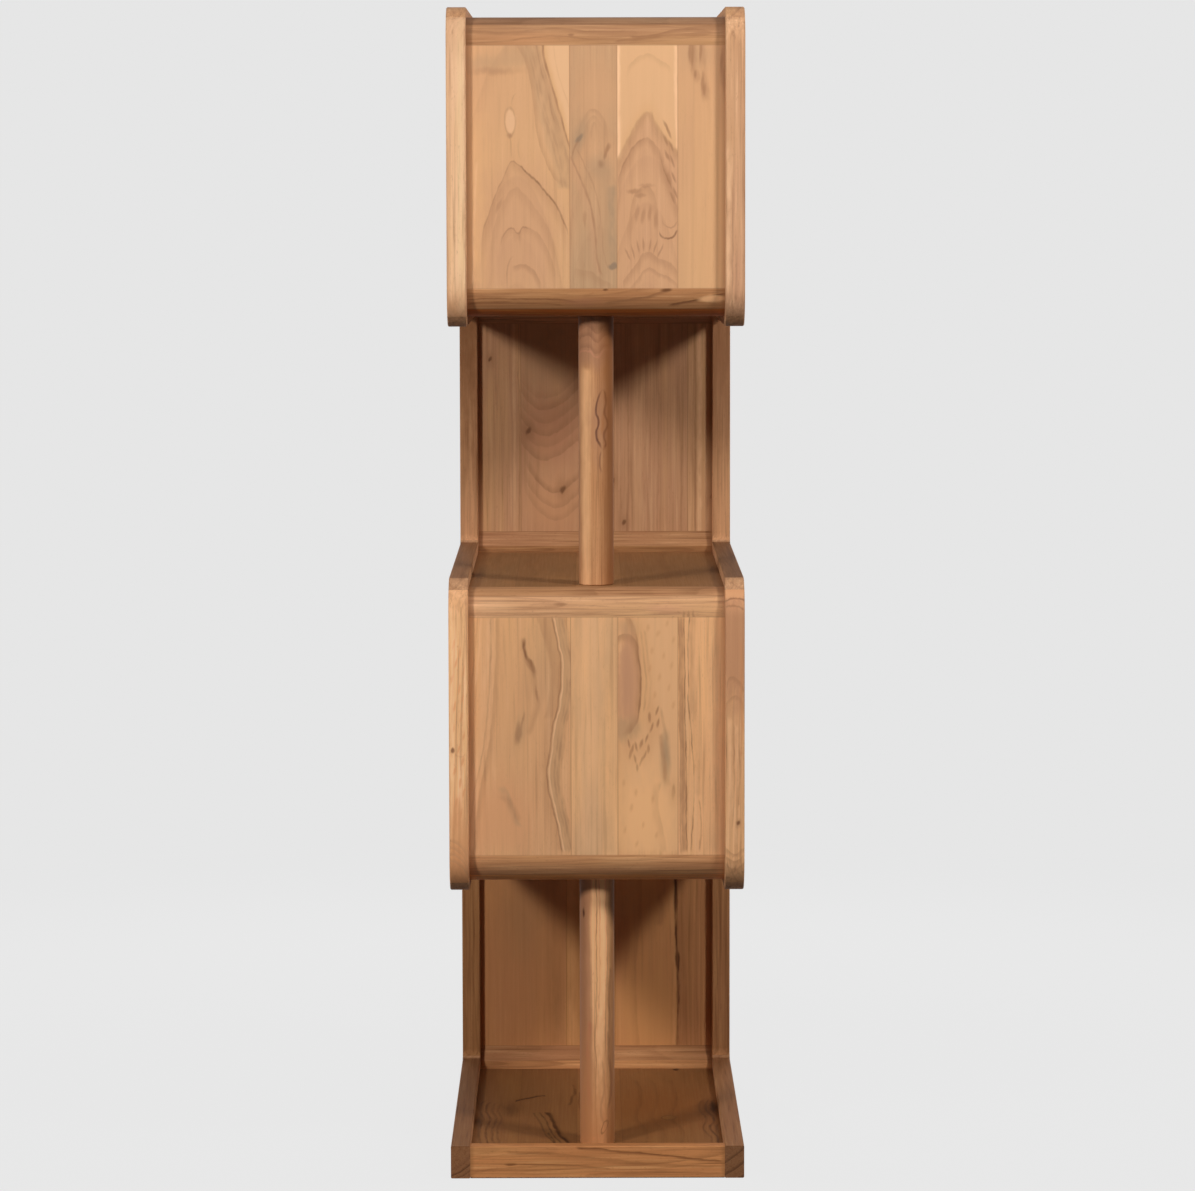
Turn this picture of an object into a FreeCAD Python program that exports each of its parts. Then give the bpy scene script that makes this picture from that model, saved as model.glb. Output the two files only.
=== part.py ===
import FreeCAD, Part
import math
import os
import Sketcher

# A free-standing bookcase made of one board that snakes from the floor to the top.
# Frame: millimetres, +Z up, origin on the floor under the middle of the case.
# The narrow front faces -Y, and the bays are open towards -X and +X.
#
# Seen from the side, the case follows a path of corners: floor (front to back), low back
# panel, shelf 1, low front panel, shelf 2, high back panel, shelf 3, high front panel, top.
# Along the path run a planked board and, on its left and right, two frames of narrow
# boards with a groove that the planked board is let into.

doc = FreeCAD.newDocument("SpineBookcase")

# ---------------------------------------------------------------- driving dimensions

sizes = doc.addObject("Spreadsheet::Sheet", "Sizes")

SIZES = [
    ("overall_width", 378),      # across both side frames, along X
    ("overall_depth", 640),      # front uprights to back uprights, along Y
    ("bay_clear_height", 347),   # between the planked boards above and below a bay
    ("low_bay_extra", 6),        # the lowest bay is this much taller
    ("board_thickness", 16),     # planked boards
    ("frame_reveal", 13),        # how far the frames stand proud of each board face
    ("frame_thickness", 25),     # frame boards, along X
    ("corner_round", 34),        # planked board, outside of a corner
    ("corner_cove", 26),         # planked board, inside of a corner
    ("rail_land", 2),            # flat of a corner rail past its round or cove
    ("edge_easing", 1.2),        # chamfered long edges of the frames
    ("groove_depth", 8),         # housing of the planked boards in the frames
    ("groove_clearance", 0.2),   # on each face of a board in its groove, and past its edge
    ("seam_near", 27),           # plank seams, from the middle of the case
    ("seam_mid", 33),
    ("seam_inner", 42),
    ("seam_far", 104),
    ("seam_wide", 115),
    ("seam_edge", 130),
    ("lip_thickness", 18),       # cross rails at the two free ends
    ("lip_groove_depth", 6),
    ("lip_easing", 1.2),
    ("post_diameter", 45),
    ("post_setback", 84),        # post axis from the outer face of the uprights
    ("post_easing", 1.2),
    ("peg_diameter", 20),        # round tenons of the posts
    ("peg_length", 10),
    ("peg_clearance", 0.15),     # round a peg
    ("peg_end_gap", 0.5),        # past the end of a peg
    ("tenon_thickness", 6),      # loose tenons of the frames and the lips, along X or Y
    ("tenon_length", 30),        # across the joint
    ("tenon_width", 24),         # along the joint
    ("tenon_inset", 8.5),        # middle of a tenon from the outer face of a frame
    ("lip_tenon_inset", 6),      # middle of a tenon from the outer face of a lip
    ("tongue_thickness", 4),     # loose tongue in the mitre of two corner rails
    ("tongue_width", 14),
    ("loose_clearance", 0.1),    # round a loose tenon or tongue in its slot
]

for row, (alias, value) in enumerate(SIZES, start=1):
    sizes.set("A%d" % row, alias)
    sizes.set("B%d" % row, str(value))
    sizes.setAlias("B%d" % row, alias)
doc.recompute()

# ---------------------------------------------------------------- derived lengths
# Each is an expression of the sheet's cells, so that the document stays parametric.


def cell(alias):
    return "Sizes." + alias


BOARD_HALF = "(Sizes.board_thickness / 2)"
FRAME_HALF = "(Sizes.board_thickness / 2 + Sizes.frame_reveal)"
FRAME_ROUND = "(Sizes.corner_round + Sizes.frame_reveal)"
FRAME_COVE = "(Sizes.corner_cove - Sizes.frame_reveal)"
GROOVE_HALF = "(Sizes.board_thickness / 2 + Sizes.groove_clearance)"
GROOVE_ROUND = "(Sizes.corner_round + Sizes.groove_clearance)"
GROOVE_COVE = "(Sizes.corner_cove - Sizes.groove_clearance)"
HALF_WIDTH = "(Sizes.overall_width / 2)"
INNER_HALF_WIDTH = "(Sizes.overall_width / 2 - Sizes.frame_thickness)"
BOARD_HALF_WIDTH = (
    "(Sizes.overall_width / 2 - Sizes.frame_thickness"
    " + Sizes.groove_depth - Sizes.groove_clearance)"
)
BACK = "(Sizes.overall_depth / 2 - %s)" % FRAME_HALF    # middle of the back uprights
FRONT = "(-%s)" % BACK
END = "(Sizes.overall_depth / 2)"                       # outer faces of the uprights
BAY_PITCH = "(Sizes.bay_clear_height + Sizes.board_thickness)"
# free end of a planked board, from the end of the frame that it lies in
LIP_SEAT = "(Sizes.lip_thickness - Sizes.lip_groove_depth)"
RAIL_OUTER_LEG = "(Sizes.corner_round + Sizes.rail_land)"
RAIL_INNER_LEG = "(Sizes.board_thickness + Sizes.corner_cove + Sizes.rail_land)"
POST_OFFSET = "(Sizes.overall_depth / 2 - Sizes.post_setback)"


def level(step):
    """Height of the middle of the board at a level: 0 is the floor and 4 the top."""
    extra = " + Sizes.low_bay_extra" if step else ""
    return "(%s + %d * %s%s)" % (FRAME_HALF, step, BAY_PITCH, extra)


def number(expression):
    value = sizes.evalExpression(expression)
    return float(getattr(value, "Value", value))


# The half of a 90 degree round that ends on the mitre reaches this share of its radius.
MITRE_SHARE = 1 - math.cos(math.radians(45))

# ---------------------------------------------------------------- the path

# Each run: name, level or column, whether it lies flat, and at each end which way the
# path turns (+1 towards the run's own +v side, -1 towards -v, 0 for a free end).
# A flat run has u along +Y and v along +Z; an upright run has u along +Z and v along -Y.
RUNS = [
    ("floor", True, 0, 0, 1),
    ("back_low", False, (BACK, 0), 1, 1),
    ("shelf_1", True, 1, 1, -1),
    ("front_low", False, (FRONT, 1), -1, -1),
    ("shelf_2", True, 2, -1, 1),
    ("back_high", False, (BACK, 2), 1, 1),
    ("shelf_3", True, 3, 1, -1),
    ("front_high", False, (FRONT, 3), -1, -1),
    ("top", True, 4, -1, 0),
]
UPRIGHT = FreeCAD.Rotation(FreeCAD.Vector(1, 0, 0), 90)
FLAT = FreeCAD.Rotation()


class Run:
    """A straight piece of the path, between two corners or a corner and a free end."""

    def __init__(self, name, flat, where, start_turn, end_turn):
        self.name = name
        self.flat = flat
        self.start_turn = start_turn
        self.end_turn = end_turn
        if flat:
            self.rotation = FLAT
            self.start_y = FRONT if start_turn else "(-%s)" % END
            self.start_z = level(where)
            self.end_y = BACK if end_turn else END
            self.length = "(%s - %s)" % (self.end_y, self.start_y)
        else:
            column, low_level = where
            self.rotation = UPRIGHT
            self.start_y = column
            self.start_z = level(low_level)
            self.length = "(%s - %s)" % (level(low_level + 1), level(low_level))


runs = [Run(*values) for values in RUNS]
run_named = {run.name: run for run in runs}

# ---------------------------------------------------------------- document helpers

node_objects = []


def add_node(label, thing):
    """Give the finished object of a sub-part the name that its file gets."""
    thing.Label = label
    node_objects.append(thing)
    return thing


def bind(thing, **expressions):
    for prop, expression in expressions.items():
        thing.setExpression(prop.replace("__", "."), expression)


def place(thing, x, y, z, rotation=FLAT):
    thing.Placement = FreeCAD.Placement(
        FreeCAD.Vector(number(x), number(y), number(z)), rotation
    )
    bind(thing, Placement__Base__x=x, Placement__Base__y=y, Placement__Base__z=z)


def new_sketch(body, name, plane="YZ_Plane"):
    sketch = body.newObject("Sketcher::SketchObject", name)
    origin_plane = [f for f in body.Origin.OriginFeatures if f.Role == plane][0]
    sketch.AttachmentSupport = (origin_plane, [""])
    sketch.MapMode = "FlatFace"
    return sketch


def dimension(sketch, kind, name, expression, *where):
    """A driving dimension of a sketch, bound to the sheet."""
    index = sketch.addConstraint(Sketcher.Constraint(kind, *where, number(expression)))
    sketch.renameConstraint(index, name)
    sketch.setExpression("Constraints." + name, expression)


def pad(body, sketch, length, reverse=False, midplane=False):
    feature = body.newObject("PartDesign::Pad", "Pad")
    feature.Profile = sketch
    feature.Reversed = reverse
    feature.Midplane = midplane
    feature.Length = number(length)
    bind(feature, Length=length)
    sketch.Visibility = False
    return feature


def pocket(body, sketch, depth, reverse):
    feature = body.newObject("PartDesign::Pocket", "Pocket")
    feature.Profile = sketch
    feature.Reversed = reverse
    feature.Length = number(depth)
    bind(feature, Length=depth)
    sketch.Visibility = False
    return feature


def ribbon_outline(sketch, run, half, round_radius, cove_radius, setback="0"):
    """Side view of one run of the path, mitred and rounded at its corners.

    half is half the run's width across the path. setback shortens a free end.
    """
    start = "(%s)" % setback if run.start_turn == 0 else "0"
    finish = run.length if run.end_turn else "(%s - %s)" % (run.length, setback)
    corners = {}
    for side in (-1, 1):
        v = "(%d * %s)" % (side, half)
        for end, turn, u, way in (("A", run.start_turn, start, 1), ("B", run.end_turn, finish, -1)):
            if turn == 0:
                corners[side, end] = (u, v, None, 0, 0)
            elif side == turn:
                # inside of the corner: the cove's arc leaves the edge before the corner
                tangent = "(%s + %d * (%s + %s))" % (u, way, half, cove_radius)
                corners[side, end] = (tangent, v, cove_radius, side, -way)
            else:
                tangent = "(%s - %d * (%s - %s))" % (u, way, half, round_radius)
                corners[side, end] = (tangent, v, round_radius, -side, -way)
    # geometry, one long edge and the arcs at its ends at a time
    edges = {}
    arcs = {}
    for side in (-1, 1):
        ends = [corners[side, end] for end in "AB"]
        points = [FreeCAD.Vector(number(u), number(v), 0) for u, v, _, _, _ in ends]
        edges[side] = sketch.addGeometry(Part.LineSegment(*points))
        sketch.addConstraint(Sketcher.Constraint("Horizontal", edges[side]))
        dimension(sketch, "DistanceX", "u%s" % "LNR"[side + 1], ends[0][0], -1, 1, edges[side], 1)
        dimension(sketch, "DistanceY", "v%s" % "LNR"[side + 1], ends[0][1], -1, 1, edges[side], 1)
        length = "(%s - %s)" % (ends[1][0], ends[0][0])
        dimension(sketch, "DistanceX", "w%s" % "LNR"[side + 1], length, edges[side], 1, edges[side], 2)
        for end, (u, v, radius, bulge, along) in zip("AB", ends):
            if radius is None:
                continue
            # the arc's centre lies square across from its tangent point
            size = number(radius)
            centre = FreeCAD.Vector(number(u), number(v) + bulge * size, 0)
            foot_angle = -math.pi / 2 * bulge
            mitre_angle = foot_angle + math.pi / 4 * bulge * along
            low, high = sorted((foot_angle, mitre_angle))
            circle = Part.Circle(centre, FreeCAD.Vector(0, 0, 1), size)
            arc = sketch.addGeometry(Part.ArcOfCircle(circle, low, high))
            foot_pos, mitre_pos = (1, 2) if foot_angle == low else (2, 1)
            edge_pos = 1 if end == "A" else 2
            sketch.addConstraint(Sketcher.Constraint("Tangent", edges[side], edge_pos, arc, foot_pos))
            dimension(sketch, "Radius", "r%s%s" % ("LNR"[side + 1], end), radius, arc)
            arcs[side, end] = (arc, mitre_pos)
    # the two end lines: mitres through the arcs' centres, or square free ends
    for end, turn in (("A", run.start_turn), ("B", run.end_turn)):
        spots = []
        for side in (-1, 1):
            if turn:
                spots.append(arcs[side, end])
            else:
                spots.append((edges[side], 1 if end == "A" else 2))
        points = [sketch.getPoint(*spot) for spot in spots]
        line = sketch.addGeometry(Part.LineSegment(*points))
        for position, spot in enumerate(spots, start=1):
            sketch.addConstraint(Sketcher.Constraint("Coincident", *spot, line, position))
        if turn:
            for arc, _ in (arcs[-1, end], arcs[1, end]):
                sketch.addConstraint(Sketcher.Constraint("PointOnObject", arc, 3, line))


def stepped_outline(sketch, corners):
    """A closed outline of level and upright lines through corners (u, v)."""
    points = [FreeCAD.Vector(number(u), number(v), 0) for u, v in corners]
    count = len(corners)
    for index in range(count):
        sketch.addGeometry(Part.LineSegment(points[index], points[(index + 1) % count]))
    for index in range(count):
        after = (index + 1) % count
        sketch.addConstraint(Sketcher.Constraint("Coincident", index, 2, after, 1))
        level_line = corners[index][1] == corners[after][1]
        kind = "Horizontal" if level_line else "Vertical"
        sketch.addConstraint(Sketcher.Constraint(kind, index))
        if level_line:
            dimension(sketch, "DistanceY", "v%d" % index, corners[index][1], -1, 1, index, 1)
        else:
            dimension(sketch, "DistanceX", "u%d" % index, corners[index][0], -1, 1, index, 1)


def cylinder(name, radius, height):
    thing = doc.addObject("Part::Cylinder", name)
    bind(thing, Radius=radius, Height=height)
    return thing


def block(name, length, width, height):
    thing = doc.addObject("Part::Box", name)
    bind(thing, Length=length, Width=width, Height=height)
    return thing


def group(name, things):
    thing = doc.addObject("Part::Compound", name)
    thing.Links = things
    return thing


def cut(name, base, tools):
    thing = doc.addObject("Part::Cut", name)
    thing.Base = base
    thing.Tool = tools[0] if len(tools) == 1 else group(name + "_tools", tools)
    return thing


# ---------------------------------------------------------------- corners

# name, y and z of the middle of the corner, and the two directions (in Y, Z) in which the
# runs leave it
CORNERS = []
for index in range(len(runs) - 1):
    lower_level = (index + 1) // 2
    column = BACK if index % 4 in (0, 1) else FRONT
    inward = -1 if column == BACK else 1
    upward = 1 if index % 2 == 0 else -1
    CORNERS.append((runs[index].name, runs[index + 1].name, column, level(lower_level), inward, upward))


def mitre_middle(corner, share):
    """Y and Z of a point on a corner's mitre, share being its way in from the middle."""
    _, _, y, z, inward, upward = CORNERS[corner]
    return "(%s + %d * %s)" % (y, inward, share), "(%s + %d * %s)" % (z, upward, share)


def mitre_block(name, corner, size_x, size_across, size_along, low_x, share):
    """A block square to a corner's mitre: across it in one direction and along it in the other."""
    _, _, _, _, inward, upward = CORNERS[corner]
    thing = block(name, size_x, size_across, size_along)
    rotation = FreeCAD.Rotation(FreeCAD.Vector(1, 0, 0), -45 * inward * upward)
    across = rotation.multVec(FreeCAD.Vector(0, 1, 0))
    along = rotation.multVec(FreeCAD.Vector(0, 0, 1))
    y, z = mitre_middle(corner, share)
    place(
        thing,
        low_x,
        "%s - %r * %s / 2 - %r * %s / 2" % (y, across.y, size_across, along.y, size_along),
        "%s - %r * %s / 2 - %r * %s / 2" % (z, across.z, size_across, along.z, size_along),
        rotation,
    )
    return thing


def frame_tenons(name, clearance):
    """Loose tenons square to the mitres of both frames, or with a clearance their slots."""
    share = "(%r * (%s + %s) / 2)" % (MITRE_SHARE, FRAME_ROUND, FRAME_COVE)
    things = []
    for corner in range(len(CORNERS)):
        for side in (-1, 1):
            thickness = "(Sizes.tenon_thickness + 2 * %s)" % clearance
            things.append((corner, side, mitre_block(
                "%s_%d" % (name, len(things)), corner, thickness,
                "(Sizes.tenon_length + 2 * %s)" % clearance,
                "(Sizes.tenon_width + 2 * %s)" % clearance,
                "%d * (%s - Sizes.tenon_inset) - %s / 2" % (side, HALF_WIDTH, thickness),
                share,
            )))
    return things


def lip_tenons(name, clearance):
    """Loose tenons from the frames into the ends of the two lips, or their slots."""
    things = []
    for end, middle in ((-1, level(0)), (1, level(4))):
        for side in (-1, 1):
            length = "(Sizes.tenon_length + 2 * %s)" % clearance
            thickness = "(Sizes.tenon_thickness + 2 * %s)" % clearance
            width = "(Sizes.tenon_width + 2 * %s)" % clearance
            thing = block("%s_%d" % (name, len(things)), length, thickness, width)
            place(
                thing,
                "%d * %s - %s / 2" % (side, INNER_HALF_WIDTH, length),
                "%d * (%s - Sizes.lip_tenon_inset) - %s / 2" % (end, END, thickness),
                "%s - %s / 2" % (middle, width),
            )
            things.append((end, side, thing))
    return things


frame_slots = frame_tenons("frame_slot", cell("loose_clearance"))
lip_slots = lip_tenons("lip_slot", cell("loose_clearance"))

# ---------------------------------------------------------------- side frames


def long_edges(shape):
    """Names of the edges along both faces of a frame board, its end lines left out."""
    names = []
    faces = (shape.BoundBox.XMin, shape.BoundBox.XMax)
    for position, edge in enumerate(shape.Edges, start=1):
        box = edge.BoundBox
        on_face = box.XLength < 1e-6 and min(abs(box.XMin - x) for x in faces) < 1e-6
        if on_face and (isinstance(edge.Curve, Part.Circle) or box.ZLength < 1e-6):
            names.append("Edge%d" % position)
    return names


def frame_board(run, side):
    """One board of a side frame: side -1 is the left frame and +1 the right one."""
    hand = "left" if side < 0 else "right"
    body = doc.addObject("PartDesign::Body", "frame_%s_%s" % (hand, run.name))
    outline = new_sketch(body, "Outline")
    ribbon_outline(outline, run, FRAME_HALF, FRAME_ROUND, FRAME_COVE)
    doc.recompute()
    board = pad(body, outline, "Sizes.frame_thickness", reverse=side < 0)
    doc.recompute()
    easing = body.newObject("PartDesign::Chamfer", "Easing")
    easing.Base = (board, long_edges(board.Shape))
    bind(easing, Size="Sizes.edge_easing")
    doc.recompute()
    groove = new_sketch(body, "Groove")
    ribbon_outline(groove, run, GROOVE_HALF, GROOVE_ROUND, GROOVE_COVE, LIP_SEAT)
    doc.recompute()
    pocket(body, groove, "Sizes.groove_depth", reverse=side > 0)
    place(body, "%d * %s" % (side, INNER_HALF_WIDTH), run.start_y, run.start_z, run.rotation)
    doc.recompute()
    tools = []
    for corner, slot_side, slot in frame_slots:
        if slot_side == side and run.name in CORNERS[corner][:2]:
            tools.append(slot)
    for end, slot_side, slot in lip_slots:
        if slot_side == side and run.name == ("floor" if end < 0 else "top"):
            tools.append(slot)
    kind = "rail" if run.flat else "upright"
    return add_node("%s_%s_%s" % (hand, run.name, kind), cut("slotted_" + body.Name, body, tools))


for side in (-1, 1):
    for run in runs:
        frame_board(run, side)

# ---------------------------------------------------------------- corner rails


def mitre_rail(corner, upright):
    """A cross-grain rail that makes one half of a corner of the planked board.

    Drawn with its run along -u, the corner's middle at the origin and the inside of the
    turn towards +v. Its tongue, half the board thick, lies under the planks' ends.
    """
    first, second, y, z, inward, upward = CORNERS[corner]
    first_is_upright = not run_named[first].flat
    run_name = first if first_is_upright == upright else second
    other = second if run_name == first else first
    body = doc.addObject("PartDesign::Body", "rail_%s_%s" % (run_name, other))
    sketch = new_sketch(body, "Section")
    half = number(BOARD_HALF)
    outside = number(cell("corner_round"))
    inside = number(cell("corner_cove"))
    round_centre = FreeCAD.Vector(half - outside, outside - half, 0)
    cove_centre = FreeCAD.Vector(-half - inside, half + inside, 0)
    normal = FreeCAD.Vector(0, 0, 1)
    round_arc = sketch.addGeometry(Part.ArcOfCircle(
        Part.Circle(round_centre, normal, outside), -math.pi / 2, -math.pi / 4))
    cove_arc = sketch.addGeometry(Part.ArcOfCircle(
        Part.Circle(cove_centre, normal, inside), -math.pi / 2, -math.pi / 4))
    outer_end = number("%s - %s" % (BOARD_HALF, RAIL_OUTER_LEG))
    inner_end = number("%s - %s" % (BOARD_HALF, RAIL_INNER_LEG))
    corners = [
        sketch.getPoint(round_arc, 1),
        FreeCAD.Vector(outer_end, -half, 0),
        FreeCAD.Vector(outer_end, 0, 0),
        FreeCAD.Vector(inner_end, 0, 0),
        FreeCAD.Vector(inner_end, half, 0),
        sketch.getPoint(cove_arc, 1),
    ]
    lines = [sketch.addGeometry(Part.LineSegment(*pair)) for pair in zip(corners, corners[1:])]
    mitre = sketch.addGeometry(
        Part.LineSegment(sketch.getPoint(cove_arc, 2), sketch.getPoint(round_arc, 2)))
    for line, after in zip(lines, lines[1:]):
        sketch.addConstraint(Sketcher.Constraint("Coincident", line, 2, after, 1))
    for line, kind in zip(lines, ("Horizontal", "Vertical", "Horizontal", "Vertical", "Horizontal")):
        sketch.addConstraint(Sketcher.Constraint(kind, line))
    sketch.addConstraint(Sketcher.Constraint("Tangent", round_arc, 1, lines[0], 1))
    sketch.addConstraint(Sketcher.Constraint("Tangent", cove_arc, 1, lines[4], 2))
    sketch.addConstraint(Sketcher.Constraint("Coincident", cove_arc, 2, mitre, 1))
    sketch.addConstraint(Sketcher.Constraint("Coincident", round_arc, 2, mitre, 2))
    sketch.addConstraint(Sketcher.Constraint("PointOnObject", round_arc, 3, mitre))
    sketch.addConstraint(Sketcher.Constraint("PointOnObject", cove_arc, 3, mitre))
    dimension(sketch, "Radius", "outside", cell("corner_round"), round_arc)
    dimension(sketch, "Radius", "inside", cell("corner_cove"), cove_arc)
    dimension(sketch, "DistanceX", "round_start", "%s - Sizes.corner_round" % BOARD_HALF,
              -1, 1, lines[0], 1)
    dimension(sketch, "DistanceY", "outer_face", "-%s" % BOARD_HALF, -1, 1, lines[0], 1)
    dimension(sketch, "DistanceX", "outer_leg", "%s - %s" % (BOARD_HALF, RAIL_OUTER_LEG),
              -1, 1, lines[1], 1)
    dimension(sketch, "DistanceX", "inner_leg", "%s - %s" % (BOARD_HALF, RAIL_INNER_LEG),
              -1, 1, lines[3], 1)
    sketch.addConstraint(Sketcher.Constraint("PointOnObject", lines[2], 1, -1))
    dimension(sketch, "DistanceY", "inner_face", BOARD_HALF, -1, 1, lines[4], 1)
    dimension(sketch, "DistanceX", "cove_start", "-(%s + Sizes.corner_cove)" % BOARD_HALF,
              -1, 1, lines[4], 2)
    doc.recompute()
    pad(body, sketch, "2 * %s" % BOARD_HALF_WIDTH, midplane=True)
    # u points at the corner along this rail's run, v to the inside of the turn
    if upright:
        u_axis = FreeCAD.Vector(0, 0, -upward)
        v_axis = FreeCAD.Vector(0, inward, 0)
    else:
        u_axis = FreeCAD.Vector(0, -inward, 0)
        v_axis = FreeCAD.Vector(0, 0, upward)
    rotation = FreeCAD.Rotation(u_axis.cross(v_axis), u_axis, v_axis, "XYZ")
    place(body, "0", y, z, rotation)
    doc.recompute()
    slot = tongue("slot_" + body.Name, corner, cell("loose_clearance"))
    end = "bottom" if upward > 0 else "top"
    if not upright:
        end = "back" if inward < 0 else "front"
    return add_node("%s_%s_rail" % (run_name, end), cut("slotted_" + body.Name, body, [slot]))


def tongue(name, corner, clearance):
    """The loose tongue of a corner's mitre, or with a clearance the slot for it."""
    return mitre_block(
        name, corner, "(2 * %s)" % BOARD_HALF_WIDTH,
        "(Sizes.tongue_width + 2 * %s)" % clearance,
        "(Sizes.tongue_thickness + 2 * %s)" % clearance,
        "-%s" % BOARD_HALF_WIDTH,
        "(%r * (Sizes.corner_round + Sizes.corner_cove) / 2)" % MITRE_SHARE,
    )


for corner in range(len(CORNERS)):
    for upright in (False, True):
        mitre_rail(corner, upright)
tongues = [tongue("tongue_%d" % corner, corner, "0") for corner in range(len(CORNERS))]
add_node("mitre_tongues", group("mitre_tongues_group", tongues))

# ---------------------------------------------------------------- planked boards

# seams of the four planks of a board, across the case
SEAMS_A = ("-Sizes.seam_mid", "Sizes.seam_near", "Sizes.seam_far")
SEAMS_B = ("-Sizes.seam_far", "-Sizes.seam_near", "Sizes.seam_mid")
SEAMS_C = ("-Sizes.seam_inner", "Sizes.seam_near", "Sizes.seam_wide")
SEAMS_D = ("-Sizes.seam_far", "Sizes.seam_near", "Sizes.seam_edge")
SEAMS = {
    "floor": SEAMS_B, "back_low": SEAMS_C, "shelf_1": SEAMS_A, "front_low": SEAMS_A,
    "shelf_2": SEAMS_B, "back_high": SEAMS_D, "shelf_3": SEAMS_A, "front_high": SEAMS_A,
    "top": SEAMS_B,
}

# posts: name, the flat run under it, the flat run over it, which end of the case
POSTS = [
    ("low_front_post", "floor", "shelf_1", -1),
    ("low_back_post", "shelf_1", "shelf_2", 1),
    ("high_front_post", "shelf_2", "shelf_3", -1),
    ("high_back_post", "shelf_3", "top", 1),
]


def peg_bores(run):
    """Blind holes for the posts' pegs in a flat run's middle plank."""
    holes = []
    for post, under, over, end in POSTS:
        if run.name not in (under, over):
            continue
        hole = cylinder(
            "bore_%s_%s" % (post, run.name),
            "Sizes.peg_diameter / 2 + Sizes.peg_clearance",
            "Sizes.peg_length + Sizes.peg_end_gap",
        )
        if run.name == under:
            low = "%s + %s - Sizes.peg_length - Sizes.peg_end_gap" % (run.start_z, BOARD_HALF)
        else:
            low = "%s - %s" % (run.start_z, BOARD_HALF)
        place(hole, "0", "%d * %s" % (end, POST_OFFSET), low)
        holes.append(hole)
    return holes


def plank(run, position, left, right):
    """One plank of a run, with half-laps at its mitred ends, from x left to x right."""
    body = doc.addObject("PartDesign::Body", "plank_%s_%d" % (run.name, position))
    sketch = new_sketch(body, "Side")
    outline = {}
    for side in (-1, 1):
        for end, turn, way in (("A", run.start_turn, 1), ("B", run.end_turn, -1)):
            base = "0" if end == "A" else run.length
            if turn == 0:
                leg = LIP_SEAT
            elif side == turn:
                leg = "(%s - %s)" % (RAIL_INNER_LEG, BOARD_HALF)
            else:
                leg = "(%s - %s)" % (RAIL_OUTER_LEG, BOARD_HALF)
            outline[side, end] = "(%s + %d * %s)" % (base, way, leg)
    below = "(-%s)" % BOARD_HALF
    corners = [(outline[-1, "A"], below), (outline[-1, "B"], below)]
    if run.end_turn:
        corners += [(outline[-1, "B"], "0"), (outline[1, "B"], "0")]
    corners += [(outline[1, "B"], BOARD_HALF), (outline[1, "A"], BOARD_HALF)]
    if run.start_turn:
        corners += [(outline[1, "A"], "0"), (outline[-1, "A"], "0")]
    stepped_outline(sketch, corners)
    doc.recompute()
    pad(body, sketch, "%s - %s" % (right, left))
    place(body, left, run.start_y, run.start_z, run.rotation)
    doc.recompute()
    return body


def planked_board(run):
    edges = ("-%s" % BOARD_HALF_WIDTH,) + SEAMS[run.name] + (BOARD_HALF_WIDTH,)
    planks = []
    for position, (left, right) in enumerate(zip(edges, edges[1:])):
        body = plank(run, position, left, right)
        holes = peg_bores(run) if run.flat and number(left) < 0 < number(right) else []
        planks.append(cut("bored_" + body.Name, body, holes) if holes else body)
    add_node(run.name + "_planks", group(run.name + "_board", planks))


for run in runs:
    planked_board(run)

# ---------------------------------------------------------------- lips


def lip(label, end):
    """The cross rail at a free end: -1 is the front of the floor, +1 the back of the top.

    Drawn with its outer face on the origin and its groove towards +u.
    """
    run = run_named["floor" if end < 0 else "top"]
    body = doc.addObject("PartDesign::Body", label + "_rail")
    sketch = new_sketch(body, "Section")
    low, high = "(-%s)" % FRAME_HALF, FRAME_HALF
    groove_low, groove_high = "(-%s)" % GROOVE_HALF, GROOVE_HALF
    inner = "Sizes.lip_thickness"
    stepped_outline(sketch, [
        ("0", low), (inner, low), (inner, groove_low), (LIP_SEAT, groove_low),
        (LIP_SEAT, groove_high), (inner, groove_high), (inner, high), ("0", high),
    ])
    doc.recompute()
    rail = pad(body, sketch, "2 * %s" % INNER_HALF_WIDTH, midplane=True)
    doc.recompute()
    easing = body.newObject("PartDesign::Chamfer", "Easing")
    outer_edges = [
        "Edge%d" % position for position, edge in enumerate(rail.Shape.Edges, start=1)
        if edge.BoundBox.XLength > 1 and abs(edge.BoundBox.YMax) < 1e-6
    ]
    easing.Base = (rail, outer_edges)
    bind(easing, Size="Sizes.lip_easing")
    turn = FreeCAD.Rotation(FreeCAD.Vector(0, 0, 1), 0 if end < 0 else 180)
    place(body, "0", "%d * %s" % (end, END), run.start_z, turn)
    doc.recompute()
    slots = [slot for slot_end, _, slot in lip_slots if slot_end == end]
    return add_node(label, cut("slotted_" + label, body, slots))


lip("front_lip", -1)
lip("back_lip", 1)

# ---------------------------------------------------------------- posts


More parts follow.
